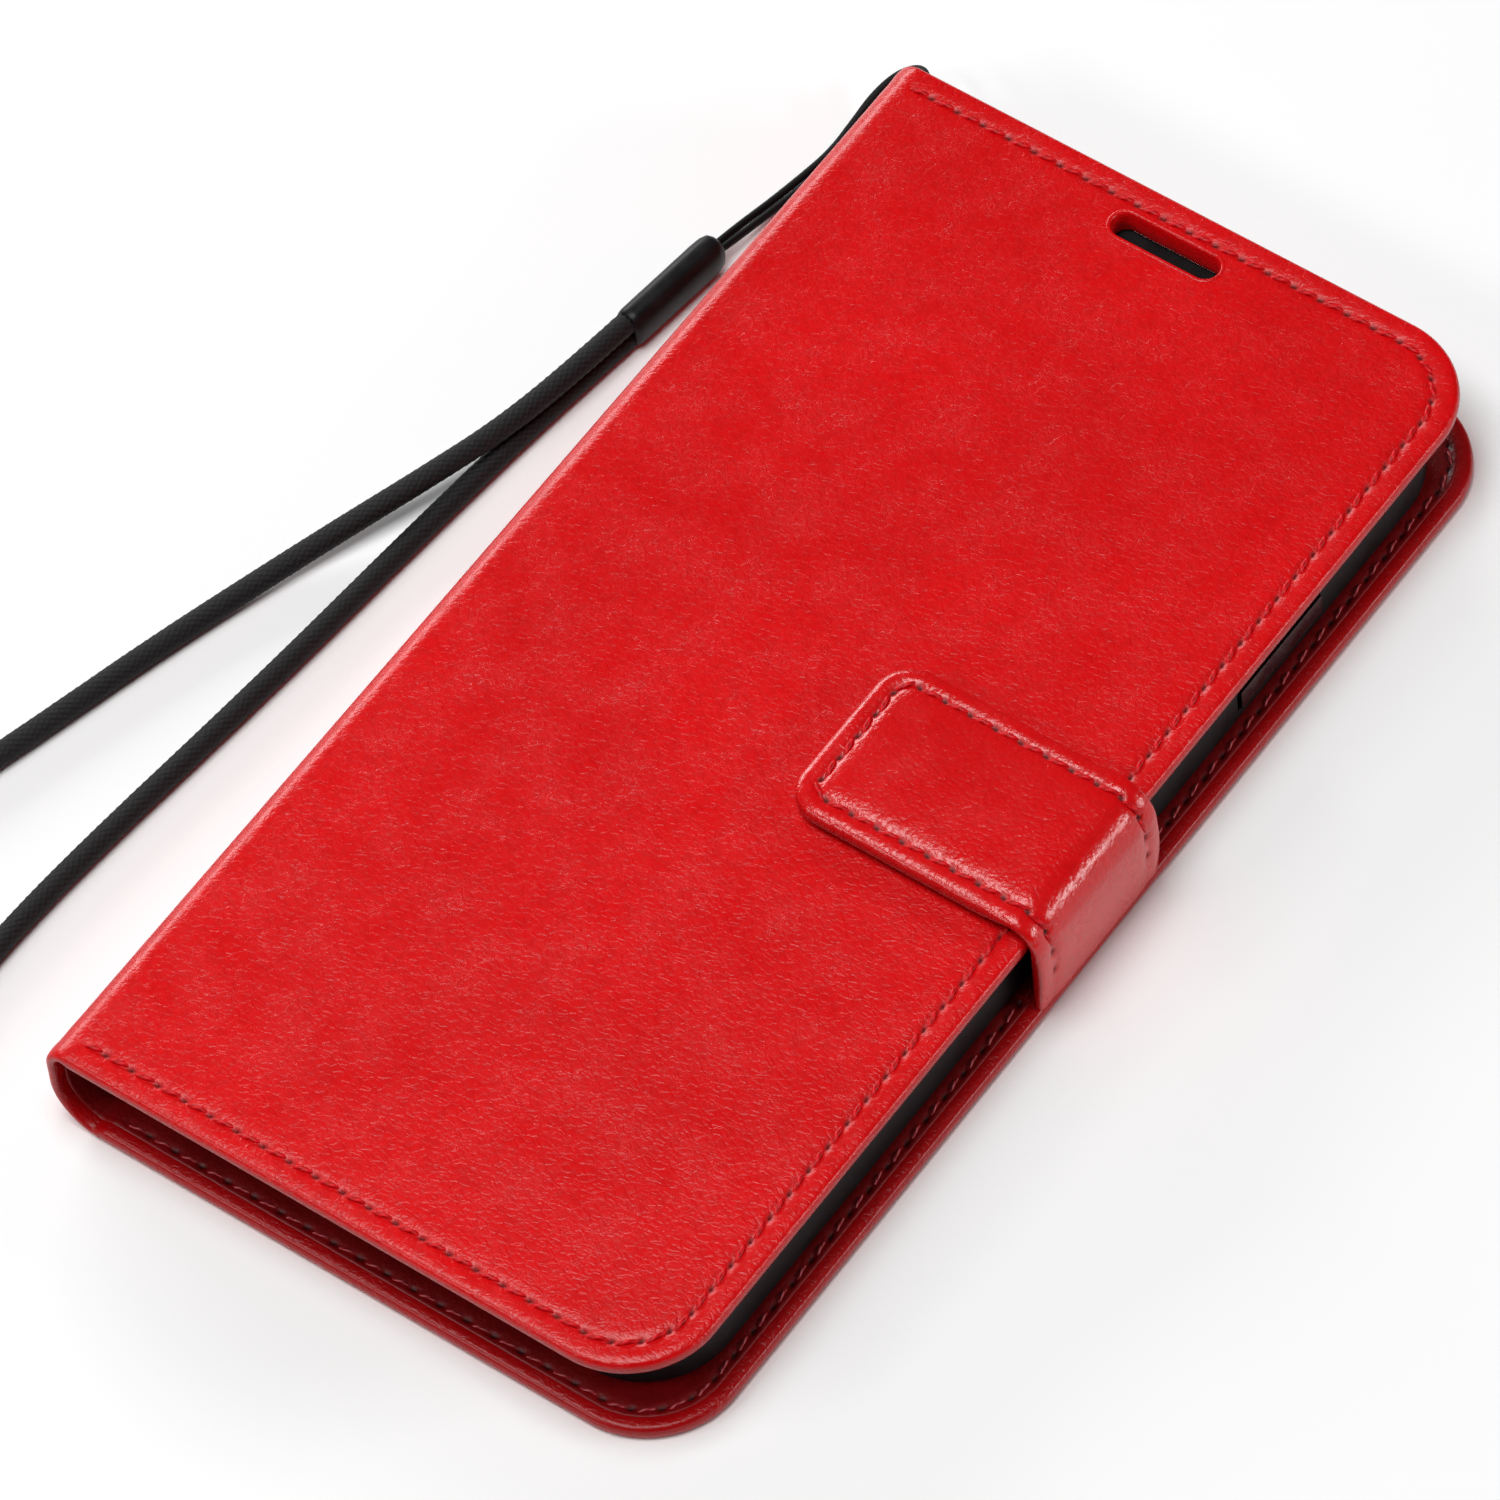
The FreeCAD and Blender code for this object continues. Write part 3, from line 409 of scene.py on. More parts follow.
COVER_LEATHER = outer_leather("cover_leather", grain=1.25, pebble=0.32, wrinkle=0.75, rough=0.27,
                              shine=0.28)
STRAP_LEATHER = outer_leather("strap_leather", grain=1.7, pebble=0.6, wrinkle=0.35, rough=0.2,
                              shine=0.5)
LINING_LEATHER = lining_leather()
SEAM_THREAD = thread_finish("seam_thread", (0.40, 0.0012, 0.003), (0.66, 0.006, 0.012))
INNER_THREAD = thread_finish("inner_thread", (0.42, 0.02, 0.03), (0.74, 0.17, 0.19))
TRAY_RUBBER = tray_rubber()
KEY_RUBBER = key_rubber()
BOARD = fibre_board()
FOAM = foam()
KEEPER_STEEL = plated_metal("keeper_steel", (0.56, 0.56, 0.57), 1.0)
MAGNET_PLATING = plated_metal("magnet_plating", (0.72, 0.71, 0.69), 0.5)
CORD_TEXTILE = braided_textile()
FERRULE_RUBBER = ferrule_rubber()
FLOOR = floor_finish()


# ---------------------------------------------------------------- meshes

SHARP = math.radians(50)        # edges that bend by more than this stay sharp
QUARTER = math.pi / 2


def metres(x, y, z):
    return Vector((x, y, z)) * MM


def make_object(name, bm, *materials):
    """A mesh object from a bmesh in millimetres, smooth but for its sharp edges."""
    bmesh.ops.scale(bm, vec=(MM, MM, MM), verts=bm.verts)
    bmesh.ops.recalc_face_normals(bm, faces=bm.faces)
    data = bpy.data.meshes.new(name)
    bm.to_mesh(data)
    bm.free()
    data.shade_smooth()
    data.set_sharp_from_angle(angle=SHARP)
    for material in materials:
        data.materials.append(material)
    made = bpy.data.objects.new(name, data)
    scene.collection.objects.link(made)
    return made


def bake_modifiers(made):
    """Replace an object's mesh with what its modifiers make of it."""
    graph = bpy.context.evaluated_depsgraph_get()
    data = bpy.data.meshes.new_from_object(made.evaluated_get(graph))
    made.modifiers.clear()
    made.data = data
    data.set_sharp_from_angle(angle=SHARP)


def bridge(bm, first, second):
    """Quads between two closed rows of vertices."""
    faces = []
    for i in range(len(first)):
        j = (i + 1) % len(first)
        faces.append(bm.faces.new((first[i], first[j], second[j], second[i])))
    return faces


def skin(bm, rows):
    """A closed tube through rows of vertices, capped at both ends; returns its bands of quads."""
    bands = [bridge(bm, first, second) for first, second in zip(rows, rows[1:])]
    bm.faces.new(rows[0])
    bm.faces.new(rows[-1])
    return bands


def map_tube(bm, bands, flat_place):
    """Lay out a tube's flat map; flat_place gives the place at a row and a step round it."""
    uv = bm.loops.layers.uv[FLAT]
    for i, band in enumerate(bands):
        for j, face in enumerate(band):
            corners = ((i, j), (i, j + 1), (i + 1, j + 1), (i + 1, j))
            for corner, (row, step) in zip(face.loops, corners):
                x, y = flat_place(row, step)
                corner[uv].uv = (x / UV_MM, y / UV_MM)


def map_from_above(bm):
    """A flat map as seen from above, spread by the height so that walls aren't smeared."""
    uv = bm.loops.layers.uv.new(FLAT)
    for face in bm.faces:
        for corner in face.loops:
            x, y, z = corner.vert.co
            corner[uv].uv = ((x + z) / UV_MM, (y + z) / UV_MM)


def smoothstep(value, low, high):
    """0 up to low, 1 from high on, and a smooth rise between."""
    share = min(max((value - low) / (high - low), 0.0), 1.0)
    return share * share * (3 - 2 * share)


def bell(value, width):
    """1 at zero, falling away on both sides."""
    return math.exp(-(value / width) ** 2)


# ---------------------------------------------------------------- folded sheets

class Fold:
    """How a flat strip is folded in the XZ plane.

    It starts at a point with a heading in degrees; its outside lies on the side (1 left, -1 right)
    of the heading, and each bend turns away from that side. Legs are (length, radius), with no
    radius on a straight.
    """

    def __init__(self, start, heading, side, legs):
        self.side = side
        self.legs = []
        self.length = 0.0
        x, z = start
        for length, radius in legs:
            self.legs.append((self.length, radius, x, z, heading))
            x, z, heading = self._walk(x, z, heading, radius, length)
            self.length += length

    def _outward(self, heading):
        angle = math.radians(heading + 90 * self.side)
        return math.cos(angle), math.sin(angle)

    def _walk(self, x, z, heading, radius, ahead):
        """Where a walk along one leg ends, and the heading there."""
        if not radius:
            angle = math.radians(heading)
            return x + ahead * math.cos(angle), z + ahead * math.sin(angle), heading
        turned = heading - self.side * math.degrees(ahead / radius)
        before, after = self._outward(heading), self._outward(turned)
        return (x - before[0] * radius + after[0] * radius,
                z - before[1] * radius + after[1] * radius, turned)

    def place(self, run, across, height):
        """The point that lies at a run, across the strip, and so far out of its outer face."""
        leg = self.legs[0]
        for candidate in self.legs:
            if run >= candidate[0]:
                leg = candidate
        begin, radius, x, z, heading = leg
        x, z, heading = self._walk(x, z, heading, radius, run - begin)
        out = self._outward(heading)
        return Vector((x + out[0] * height, across, z + out[1] * height))


FINE = 4                # fine steps in each coarse one, for the needle holes
CORNER_STEPS = 12


class Strip:
    """A strip in the flat, with one rounded free end at run 0 and a seam along its free edges."""

    def __init__(self, fold, centre, half, corner, run_steps, across_steps, inset, pitch, seam_end):
        self.fold = fold
        self.centre = centre
        self.half = half
        self.corner = corner
        self.inset = inset
        self.seam_end = seam_end
        self.runs = run_steps
        reach = half - corner
        self.acrosses = [reach - 2 * reach * i / across_steps for i in range(across_steps + 1)]
        side = max(round((seam_end - corner) / pitch), 1)
        bend = max(round((corner - inset) * math.pi / 2 / pitch), 1)
        end = max(round(2 * reach / pitch), 1)
        self.counts = (side, bend, end, bend, side)

    def rim(self, edge, share):
        """A place on the free edge and the way inward, at a share of one of its five edges."""
        c, h = self.corner, self.half
        if edge == 0:
            return (self.seam_end + (c - self.seam_end) * share, h), (0, -1)
        if edge == 2:
            return (0, (h - c) * (1 - 2 * share)), (1, 0)
        if edge == 4:
            return (c + (self.seam_end - c) * share, -h), (0, 1)
        angle = math.pi / 2 * (1 + share) if edge == 1 else math.pi * (1 + share / 2)
        way = (math.cos(angle), math.sin(angle))
        centre = (c, h - c) if edge == 1 else (c, c - h)
        return ((centre[0] + way[0] * c, centre[1] + way[1] * c), (-way[0], -way[1]))

    def stations(self):
        """Fine stations round the free edge: place, way inward and the count of stitches so far."""
        found = []

        def add(edge, share):
            base, way = self.rim(edge, share)
            found.append((base, way, sum(self.counts[:edge]) + share * self.counts[edge]))

        span = self.corner - self.seam_end
        side_runs = []
        for first, second in zip(self.runs, self.runs[1:]):
            side_runs += [first + (second - first) * i / FINE for i in range(FINE)]
        side_runs.append(self.runs[-1])
        for run in reversed(side_runs[1:]):
            add(0, (run - self.seam_end) / span)
        corner_steps = CORNER_STEPS * FINE
        end_steps = (len(self.acrosses) - 1) * FINE
        for edge, steps in ((1, corner_steps), (2, end_steps), (3, corner_steps)):
            for i in range(steps):
                add(edge, i / steps)
        for run in side_runs:
            add(4, 1 - (run - self.seam_end) / span)
        return found

    def seam_marks(self):
        """The middle of every stitch, with its heading in the flat."""
        for edge, count in enumerate(self.counts):
            for step in range(count):
                base, way = self.rim(edge, (step + 0.5) / count)
                place = (base[0] + way[0] * self.inset, base[1] + way[1] * self.inset)
                yield place, math.atan2(-way[0], way[1])


# The seam presses a groove along the sheet and a needle hole at each end of a stitch.
GROOVE_WIDTH = 0.62         # at this distance from their middle they have faded to a third
HOLE_LENGTH = 0.46
HOLE_WIDTH = 0.30
HOLE_LEAN = 0.55            # a hole's shift along the seam for each millimetre across it
SEAM_FADE = 0.4             # share of a stitch over which the seam fades out at its two ends
EDGE_SHADE_FROM, EDGE_SHADE_TO = 0.15, 0.6      # shares of the thickness over which the painted edge shade rises
EDGE_SPREAD = 0.6           # the flat map's shift per millimetre of height, so no edge is smeared
SAME_PLACE = 0.0005         # vertices closer than this are merged


def shell(name, strip, rings, thickness, material, groove, dent, crown=None):
    """A closed sheet built of rings that run round the free edge, and a core inside each face.

    A ring is (inset, share of the thickness below the outer face, lift, fine, seam), in order from
    one face round the edge to the other; seam is 1 where the seam's groove and holes are pressed
    into it from outside, and -1 where they are pressed in from inside.
    """
    bm = bmesh.new()
    flat = bm.verts.layers.float_vector.new("place")
    hole = bm.verts.layers.float.new(HOLE)
    turned = bm.verts.layers.float.new(EDGE_SHADE)
    stations = strip.stations()
    pitch = 2 * (strip.half - strip.corner) / strip.counts[2]
    last = sum(strip.counts)

    def vertex(run, across, share, lift, seam=0, phase=0.0, inset=0.0):
        height = lift - share * thickness(run)
        mark = 0.0
        if seam and 0 <= phase <= last:
            off = inset - strip.inset
            near = (phase - round(phase)) * pitch + HOLE_LEAN * off
            ends = smoothstep(phase, 0.0, SEAM_FADE) * smoothstep(last - phase, 0.0, SEAM_FADE)
            mark = ends * bell(near, HOLE_LENGTH) * bell(off, HOLE_WIDTH)
            height -= seam * (ends * groove * bell(off, GROOVE_WIDTH) + dent * mark)
        if crown is not None:
            height += crown(run, across, share)
        made = bm.verts.new(strip.fold.place(run, strip.centre + across, height))
        spread = height * EDGE_SPREAD
        made[flat] = (run + spread, across + strip.centre + spread, 0)
        # painted shade in the needle holes: the mark sets how dark they are painted
        made[hole] = mark
        # painted shade round the turned edge, rising with the share of the thickness
        made[turned] = smoothstep(share, EDGE_SHADE_FROM, EDGE_SHADE_TO)
        return made

    rows = []
    for inset, share, lift, fine, seam in rings:
        row = [vertex(run + way[0] * inset, across + way[1] * inset, share, lift, seam, phase, inset)
               for (run, across), way, phase in stations[::1 if fine else FINE]]
        rows.append((row, fine))
    for (first, first_fine), (second, second_fine) in zip(rows, rows[1:]):
        first_step = FINE if first_fine and not second_fine else 1
        second_step = FINE if second_fine and not first_fine else 1
        for i in range(min(len(first), len(second)) - 1):
            a, b = i * first_step, i * second_step
            bm.faces.new(first[a:a + first_step + 1] + second[b:b + second_step + 1][::-1])
    for _, share, lift, _, _ in (rings[0], rings[-1]):
        grid = [[vertex(run, across, share, lift) for run in strip.runs]
                for across in strip.acrosses]
        for upper, lower in zip(grid, grid[1:]):
            for i in range(len(upper) - 1):
                bm.faces.new((upper[i], upper[i + 1], lower[i + 1], lower[i]))
    bmesh.ops.remove_doubles(bm, verts=bm.verts, dist=SAME_PLACE)
    bmesh.ops.holes_fill(bm, edges=[edge for edge in bm.edges if edge.is_boundary], sides=0)
    uv = bm.loops.layers.uv.new(FLAT)
    for face in bm.faces:
        for corner in face.loops:
            corner[uv].uv = (corner.vert[flat].x / UV_MM, corner.vert[flat].y / UV_MM)
    bm.verts.layers.float_vector.remove(flat)
    return make_object(name, bm, material)


def runs_through(start, *legs):
    """Steps along a strip; a leg is (where it ends, the size of its steps)."""
    runs = []
    for end, size in legs:
        count = max(round((end - start) / size), 1)
        runs += [start + (end - start) * i / count for i in range(count)]
        start = end
    return runs + [start]


def rounded_loop(low_x, high_x, low_y, high_y, radius, steps=10):
    """Points round a rectangle with rounded corners, with the way outward at each."""
    centres = ((high_x - radius, high_y - radius, 0), (low_x + radius, high_y - radius, 90),
               (low_x + radius, low_y + radius, 180), (high_x - radius, low_y + radius, 270))
    for x, y, start in centres:
        for i in range(steps + 1):
            angle = math.radians(start + 90 * i / steps)
            way = (math.cos(angle), math.sin(angle))
            yield (x + way[0] * radius, y + way[1] * radius), way


def swept_rim(name, loop, profile, level, material):
    """A closed band along a loop; the profile is pairs of (outward, upward) from the loop."""
    bm = bmesh.new()
    rows = []
    for (x, y), way in loop:
        rows.append([bm.verts.new((x + way[0] * out, y + way[1] * out, level + up))
                     for out, up in profile])
    for row, after in zip(rows, rows[1:] + rows[:1]):
        bridge(bm, row, after)
    map_from_above(bm)
    return make_object(name, bm, material)


def cut(made, loop, low, high):
    """Cut a prism with the loop's outline through an object."""
    bm = bmesh.new()
    skin(bm, [[bm.verts.new((x, y, level)) for (x, y), _ in loop] for level in (low, high)])
    cutter = make_object("cutter", bm)
    modifier = made.modifiers.new("opening", "BOOLEAN")
    modifier.operation = "DIFFERENCE"
    modifier.solver = "EXACT"
    modifier.object = cutter
    bake_modifiers(made)
    bpy.data.objects.remove(cutter)


STITCH_LEAN = math.radians(11)
STITCH_SIDES = 8
STITCH_ROWS = 9
STITCH_RISE = 0.09          # a stitch bows: its middle stands this high
STITCH_DIP = 0.34           # and its ends go down by this much from there
STITCH_FLATNESS = 0.8       # its height against its width
STITCH_TIP = 0.02           # squared share of the girth that is left at its tips
THREAD_PIECE = 7            # every stitch starts this much further along the thread's flat map
THREAD_SIDE = 0.2           # and one of its sides is this wide there


def stitches(name, marks, material, radius=0.26, length=2.75):
    """One mesh of short bowed threads; a mark is (place, along, up) at a stitch's middle."""
    bm = bmesh.new()
    bm.loops.layers.uv.new(FLAT)
    for number, (place, along, up) in enumerate(marks):
        across = up.cross(along).normalized()
        along, across = (along * math.cos(STITCH_LEAN) + across * math.sin(STITCH_LEAN),
                         across * math.cos(STITCH_LEAN) - along * math.sin(STITCH_LEAN))
        rows = []
        for i in range(STITCH_ROWS):
            share = 2 * i / (STITCH_ROWS - 1) - 1
            girth = radius * math.sqrt(max(1 - abs(share) ** 4, STITCH_TIP))
            bow = STITCH_RISE - STITCH_DIP * share ** 2
            middle = place + along * (share * length / 2) + up * bow
            row = []
            for j in range(STITCH_SIDES):
                angle = 2 * math.pi * j / STITCH_SIDES
                offset = across * math.cos(angle) + up * (STITCH_FLATNESS * math.sin(angle))
                row.append(bm.verts.new(middle + offset * girth))
            rows.append(row)
        start = number * THREAD_PIECE
        map_tube(bm, skin(bm, rows), lambda row, step: (start + row * length / STITCH_ROWS,
                                                        step * THREAD_SIDE))
    return make_object(name, bm, material)


def strip_marks(strip, height, outside=True):
    """The seam's stitch places on one face of a folded strip."""
    reach = 0.3
    for (run, across), heading in strip.seam_marks():
        tall = height(run)
        step = (math.cos(heading) * reach, math.sin(heading) * reach)
        place = strip.fold.place(run, strip.centre + across, tall)
        ahead = strip.fold.place(run + step[0], strip.centre + across + step[1], tall)
        above = strip.fold.place(run, strip.centre + across, tall + 1) - place
        yield place, (ahead - place).normalized(), above if outside else -above


# ---------------------------------------------------------------- covers

front_low, front_high = box_mm("front_skin")
back_high = box_mm("back_skin")[1]
spine_low = box_mm("spine_skin")[0]
COVER_THICK = front_high.z - front_low.z
SPINE_THICK = 1.2           # outer leather and lining, with no board between
SKIN = 0.7
LINING = 0.5
HALF = front_high.y
CORNER = 11.0
UPPER_FOLD = 3.2
LOWER_FOLD = 6.5
SPINE_SPLIT = 8.85          # height at which the back's and the front's leather meet
STITCH_PITCH = 3.5
FLAT_CELL = 1.4             # size of the mesh's cells along the flat and up the spine
SPINE_CELL = 1.2

front_flat = front_high.x - spine_low.x - UPPER_FOLD
back_flat = back_high.x - spine_low.x - LOWER_FOLD


def cover_fold(flat, radius, start, side, rise):
    legs = ((flat, 0), (radius * QUARTER, radius), (rise, 0))
    return Fold(start, 180, side, legs)


def cover_strip(fold, flat, radius, bend_cells, inset, seam_end):
    bend = radius * QUARTER
    runs = runs_through(CORNER, (flat, FLAT_CELL), (flat + bend, bend / bend_cells),
                        (fold.length, SPINE_CELL))
    return Strip(fold, 0.0, HALF, CORNER, runs, across_steps=98, inset=inset,
                 pitch=STITCH_PITCH, seam_end=seam_end)


def cover_thickness(flat):
    """A function of the run: the cover's thickness, and from the end of the board the spine's."""
    board_end, soft_from = flat - 0.4, flat + 2.0
    thinner = SPINE_THICK - COVER_THICK
    return lambda run: COVER_THICK + thinner * smoothstep(run, board_end, soft_from)


FRONT_FOLD = cover_fold(front_flat, UPPER_FOLD, (front_high.x, front_high.z), -1,
                        front_high.z - UPPER_FOLD - SPINE_SPLIT)
BACK_FOLD = cover_fold(back_flat, LOWER_FOLD, (back_high.x, 0.0), 1, SPINE_SPLIT - LOWER_FOLD)
FRONT_STRIP = cover_strip(FRONT_FOLD, front_flat, UPPER_FOLD, bend_cells=14, inset=3.0,
                          seam_end=front_flat + 0.3)
BACK_STRIP = cover_strip(BACK_FOLD, back_flat, LOWER_FOLD, bend_cells=22, inset=2.6,
                         seam_end=back_flat - 1.0)
front_thick = cover_thickness(front_flat)
back_thick = cover_thickness(back_flat)


def zone(*places, share=0, fine=1, seam=0):
    """Rings of one kind, next to each other: a place is (inset, lift)."""
    return [(inset, share, lift, fine, seam) for inset, lift in places]


def turned_edge(*places, fine=1, seam=0):
    """Rings that step down or up the thickness: a place is (inset, share of the thickness)."""
    return [(inset, share, 0, fine, seam) for inset, share in places]


# From the hidden face of the outer leather, round the turned edge, up over the pillowed border,
# across the seam and on to the flat.
SKIN_RINGS = [
    *zone((CORNER, -SKIN), (4.0, -SKIN), fine=0), *zone((1.75, -SKIN)),
    *zone((1.75, 0.03), (1.45, 0), (0.75, 0), (0.3, 0.09), share=1),
    *turned_edge((0.09, 0.80), (0, 0.55), (0.05, 0.32), (0.2, 0.13), (0.45, 0.03)),
    *zone((0.85, 0.03), (1.35, 0.06)),
    *zone((1.85, 0.05), (2.2, 0.02), (2.5, 0), (2.7, 0), (2.85, 0), (3.0, 0), (3.15, 0), (3.3, 0),
          (3.55, 0), (3.9, 0.01), seam=1),
    *zone((4.4, 0.02), (5.4, 0.01)), *zone((7.0, 0), (9.0, 0), (CORNER, 0), fine=0),
]
# From the lining's hidden face over its cut edge, across the seam and on to the flat.
LINING_RINGS = [
    *zone((CORNER, LINING), (4.0, LINING), share=1, fine=0),
    *zone((1.9, LINING), (1.62, 0.22), (1.68, 0.04), (1.84, -0.05), share=1),
    *zone((2.1, -0.05), (2.35, -0.02), (2.5, 0), (2.6, 0), (2.75, 0), (2.9, 0), (3.05, 0), (3.3, 0),
          (3.7, -0.01), share=1, seam=-1),
    *zone((4.5, 0), share=1), *zone((6.5, 0), (8.5, 0), (CORNER, 0), share=1, fine=0),
]

EARPIECE_X = -0.8
EARPIECE_FROM_END = 6.0
EARPIECE_HALF_WIDE = 7.0
EARPIECE_HALF_TALL = 1.7
NEARLY = 0.999              # the slot's corner radius over its half height: no side is zero long
WINDOW_FROM_TRAY = 5.5      # from the tray's outer faces to the camera window
WINDOW_WIDE = 24
WINDOW_TALL = 38
WINDOW_CORNER = 5
CUT_MARGIN = 0.1
CUT_BEYOND = 1


def earpiece_loop(margin=0.0):
    """The stadium-shaped slot over the phone's earpiece."""
    centre_y = HALF - EARPIECE_FROM_END
    wide, tall = EARPIECE_HALF_WIDE + margin, EARPIECE_HALF_TALL + margin
    return list(rounded_loop(EARPIECE_X - wide, EARPIECE_X + wide, centre_y - tall,
                             centre_y + tall, tall * NEARLY))


def camera_loop(margin=0.0):
    """The opening behind the phone's cameras, placed from the tray's corner."""
    tray_high = box_mm("phone_tray")[1]
    high_x, high_y = tray_high.x - WINDOW_FROM_TRAY, tray_high.y - WINDOW_FROM_TRAY
    return list(rounded_loop(high_x - WINDOW_WIDE - margin, high_x + margin,
                             high_y - WINDOW_TALL - margin, high_y + margin,
                             WINDOW_CORNER + margin))


OUTER_PRESS = {"groove": 0.15, "dent": 0.24}
INNER_PRESS = {"groove": 0.1, "dent": 0.22}
front_leather = shell("front_leather", FRONT_STRIP, SKIN_RINGS, front_thick, COVER_LEATHER,
                      **OUTER_PRESS)
back_leather = shell("back_leather", BACK_STRIP, SKIN_RINGS, back_thick, COVER_LEATHER,
                     **OUTER_PRESS)
front_inner = shell("front_inner_leather", FRONT_STRIP, LINING_RINGS, front_thick, LINING_LEATHER,
                    **INNER_PRESS)
back_inner = shell("back_inner_leather", BACK_STRIP, LINING_RINGS, back_thick, LINING_LEATHER,
                   **INNER_PRESS)

for piece in (front_leather, front_inner):
    cut(piece, earpiece_loop(CUT_MARGIN), front_low.z - CUT_BEYOND, front_high.z + CUT_BEYOND)
for piece in (back_leather, back_inner):
    cut(piece, camera_loop(CUT_MARGIN), -CUT_BEYOND, COVER_THICK + CUT_BEYOND)


def rim_profile(*wall):
    """A rolled lip on the upper face, then a wall whose points are measured from the lower face."""
    lip = [(0.62, -0.12), (0.45, 0.05), (0.2, 0.08), (0.02, -0.06), (-0.06, -0.3)]
    return lip + [(out, up - COVER_THICK) for out, up in wall]


# The slot's wall tapers a little and hangs close to the tray's rim, as a turned-in edge does.
SLOT_PROFILE = rim_profile((-0.3, -0.7), (-0.24, -0.86), (-0.05, -0.9), (0.4, -0.5), (0.6, 0.12))
WINDOW_PROFILE = rim_profile((-0.06, 0.3), (0.02, 0.04), (0.2, -0.06), (0.45, -0.04), (0.6, 0.12))
earpiece_rim = swept_rim("earpiece_rim", earpiece_loop(), SLOT_PROFILE, front_high.z,
                         COVER_LEATHER)
camera_rim = swept_rim("camera_rim", camera_loop(), WINDOW_PROFILE, COVER_THICK, LINING_LEATHER)

upper_start = metres(spine_low.x, 0, front_high.z - UPPER_FOLD)
upper_end = metres(spine_low.x + UPPER_FOLD, 0, front_high.z)
for piece in (front_leather, front_inner):
    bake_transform(piece)
lower_end = metres(spine_low.x, 0, LOWER_FOLD)
for piece in (back_leather, back_inner):
    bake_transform(piece)
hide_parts("front_skin")
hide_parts("back_skin", "spine_skin")
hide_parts("front_lining")
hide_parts("back_lining", "spine_lining")
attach(earpiece_rim, "front_cover")
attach(camera_rim, "back_cover")

THREAD_SUNK = 0.05          # a seam's line lies this deep in its face
INNER_STITCH = {"radius": 0.15, "length": 2.4}


def outer_seam(name, strip):
    marks = strip_marks(strip, lambda run: -THREAD_SUNK)
    return stitches(name, marks, SEAM_THREAD)


def inner_seam(name, strip, thickness):
    marks = strip_marks(strip, lambda run: THREAD_SUNK - thickness(run), outside=False)
    return stitches(name, marks, INNER_THREAD, **INNER_STITCH)


front_seam = outer_seam("front_seam", FRONT_STRIP)
back_seam = outer_seam("back_seam", BACK_STRIP)
front_inner_seam = inner_seam("front_inner_seam", FRONT_STRIP, front_thick)
back_inner_seam = inner_seam("back_inner_seam", BACK_STRIP, back_thick)
for piece, body in ((front_seam, "front_cover"), (front_inner_seam, "front_cover"),
                    (back_seam, "back_cover"), (back_inner_seam, "back_cover")):
    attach(piece, body)
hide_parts("front_stitching")
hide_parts("back_stitching")


# ---------------------------------------------------------------- magnetic strap

tab_low, tab_high = box_mm("strap_tab_skin")
side_high = box_mm("strap_side_skin")[1]
tab_under = box_mm("strap_tab_lining")[0].z
STRAP_HALF = (tab_high.y - tab_low.y) / 2
STRAP_CENTRE = (tab_high.y + tab_low.y) / 2
TAB_CORNER = 4.5
TAB_THICK = tab_high.z - tab_under
SIDE_THICK = 1.3
STRAP_BEND = 4.2
ROOT_BEND = 1.2
ROOT_LEVEL = 0.72
STRAP_PROUD = 0.06
STRAP_SPLIT = 8.0           # level at which the tab's leather and the side's meet
STRAP_SEAM_SPLIT = STRAP_SPLIT + 1.2        # threads above this level go with the tab's seam
ROOT_REACH = 5.0

strap_out = side_high.x + STRAP_PROUD
strap_flat = strap_out - STRAP_BEND - tab_low.x
strap_rise = tab_high.z - STRAP_BEND - ROOT_LEVEL - ROOT_BEND
STRAP_LEGS = ((strap_flat, 0), (STRAP_BEND * QUARTER, STRAP_BEND), (strap_rise, 0),
              (ROOT_BEND * QUARTER, ROOT_BEND), (ROOT_REACH, 0))
STRAP_FOLD = Fold((tab_low.x, tab_high.z), 0, 1, STRAP_LEGS)
strap_over = strap_flat + STRAP_BEND * QUARTER
strap_down = strap_over + strap_rise

strap_root = strap_down + ROOT_BEND * QUARTER
strap_runs = runs_through(TAB_CORNER, (strap_flat, 1.0), (strap_over, 0.25), (strap_down, 1.0),
                          (strap_root, 0.2), (STRAP_FOLD.length, 1.2))
STRAP_STRIP = Strip(STRAP_FOLD, STRAP_CENTRE, STRAP_HALF, TAB_CORNER, strap_runs, across_steps=14,
                    inset=2.5, pitch=STITCH_PITCH * 0.94, seam_end=strap_down - 2.0)

# From the tab's under side across its seam, round the plump edge, and up to the crown of the top.
STRAP_RINGS = [
    *zone((TAB_CORNER, 0), (3.6, 0), share=1, fine=0),
    *zone((3.0, 0.02), (2.75, 0.03), (2.5, 0.03), (2.25, 0.03), (2.0, 0.03), share=1, seam=-1),
    *zone((1.5, 0.02), share=1), *zone((0.8, 0.03), share=0.98),
    *turned_edge((0.34, 0.92), (0.1, 0.78), (0, 0.58), (0.06, 0.39), (0.24, 0.24), (0.52, 0.15),
                 (0.9, 0.10), (1.3, 0.08)),
    *turned_edge((1.7, 0.08), (2.0, 0.09), (2.2, 0.10), (2.35, 0.10), (2.5, 0.10), (2.65, 0.10),
                 (2.8, 0.09), (3.0, 0.07), (3.3, 0.05), seam=1),
    *turned_edge((3.7, 0.03)), *turned_edge((4.1, 0.015), (TAB_CORNER, 0), fine=0),
]


TAB_SWELL = 0.16
SIDE_BOW = 0.5
BOW_EARLY = 2               # the bow begins this far before the side does


def strap_thickness(run):
    thinner = smoothstep(run, strap_flat - 5.0, strap_flat + 2.5)
    return TAB_THICK + (SIDE_THICK - TAB_THICK) * thinner


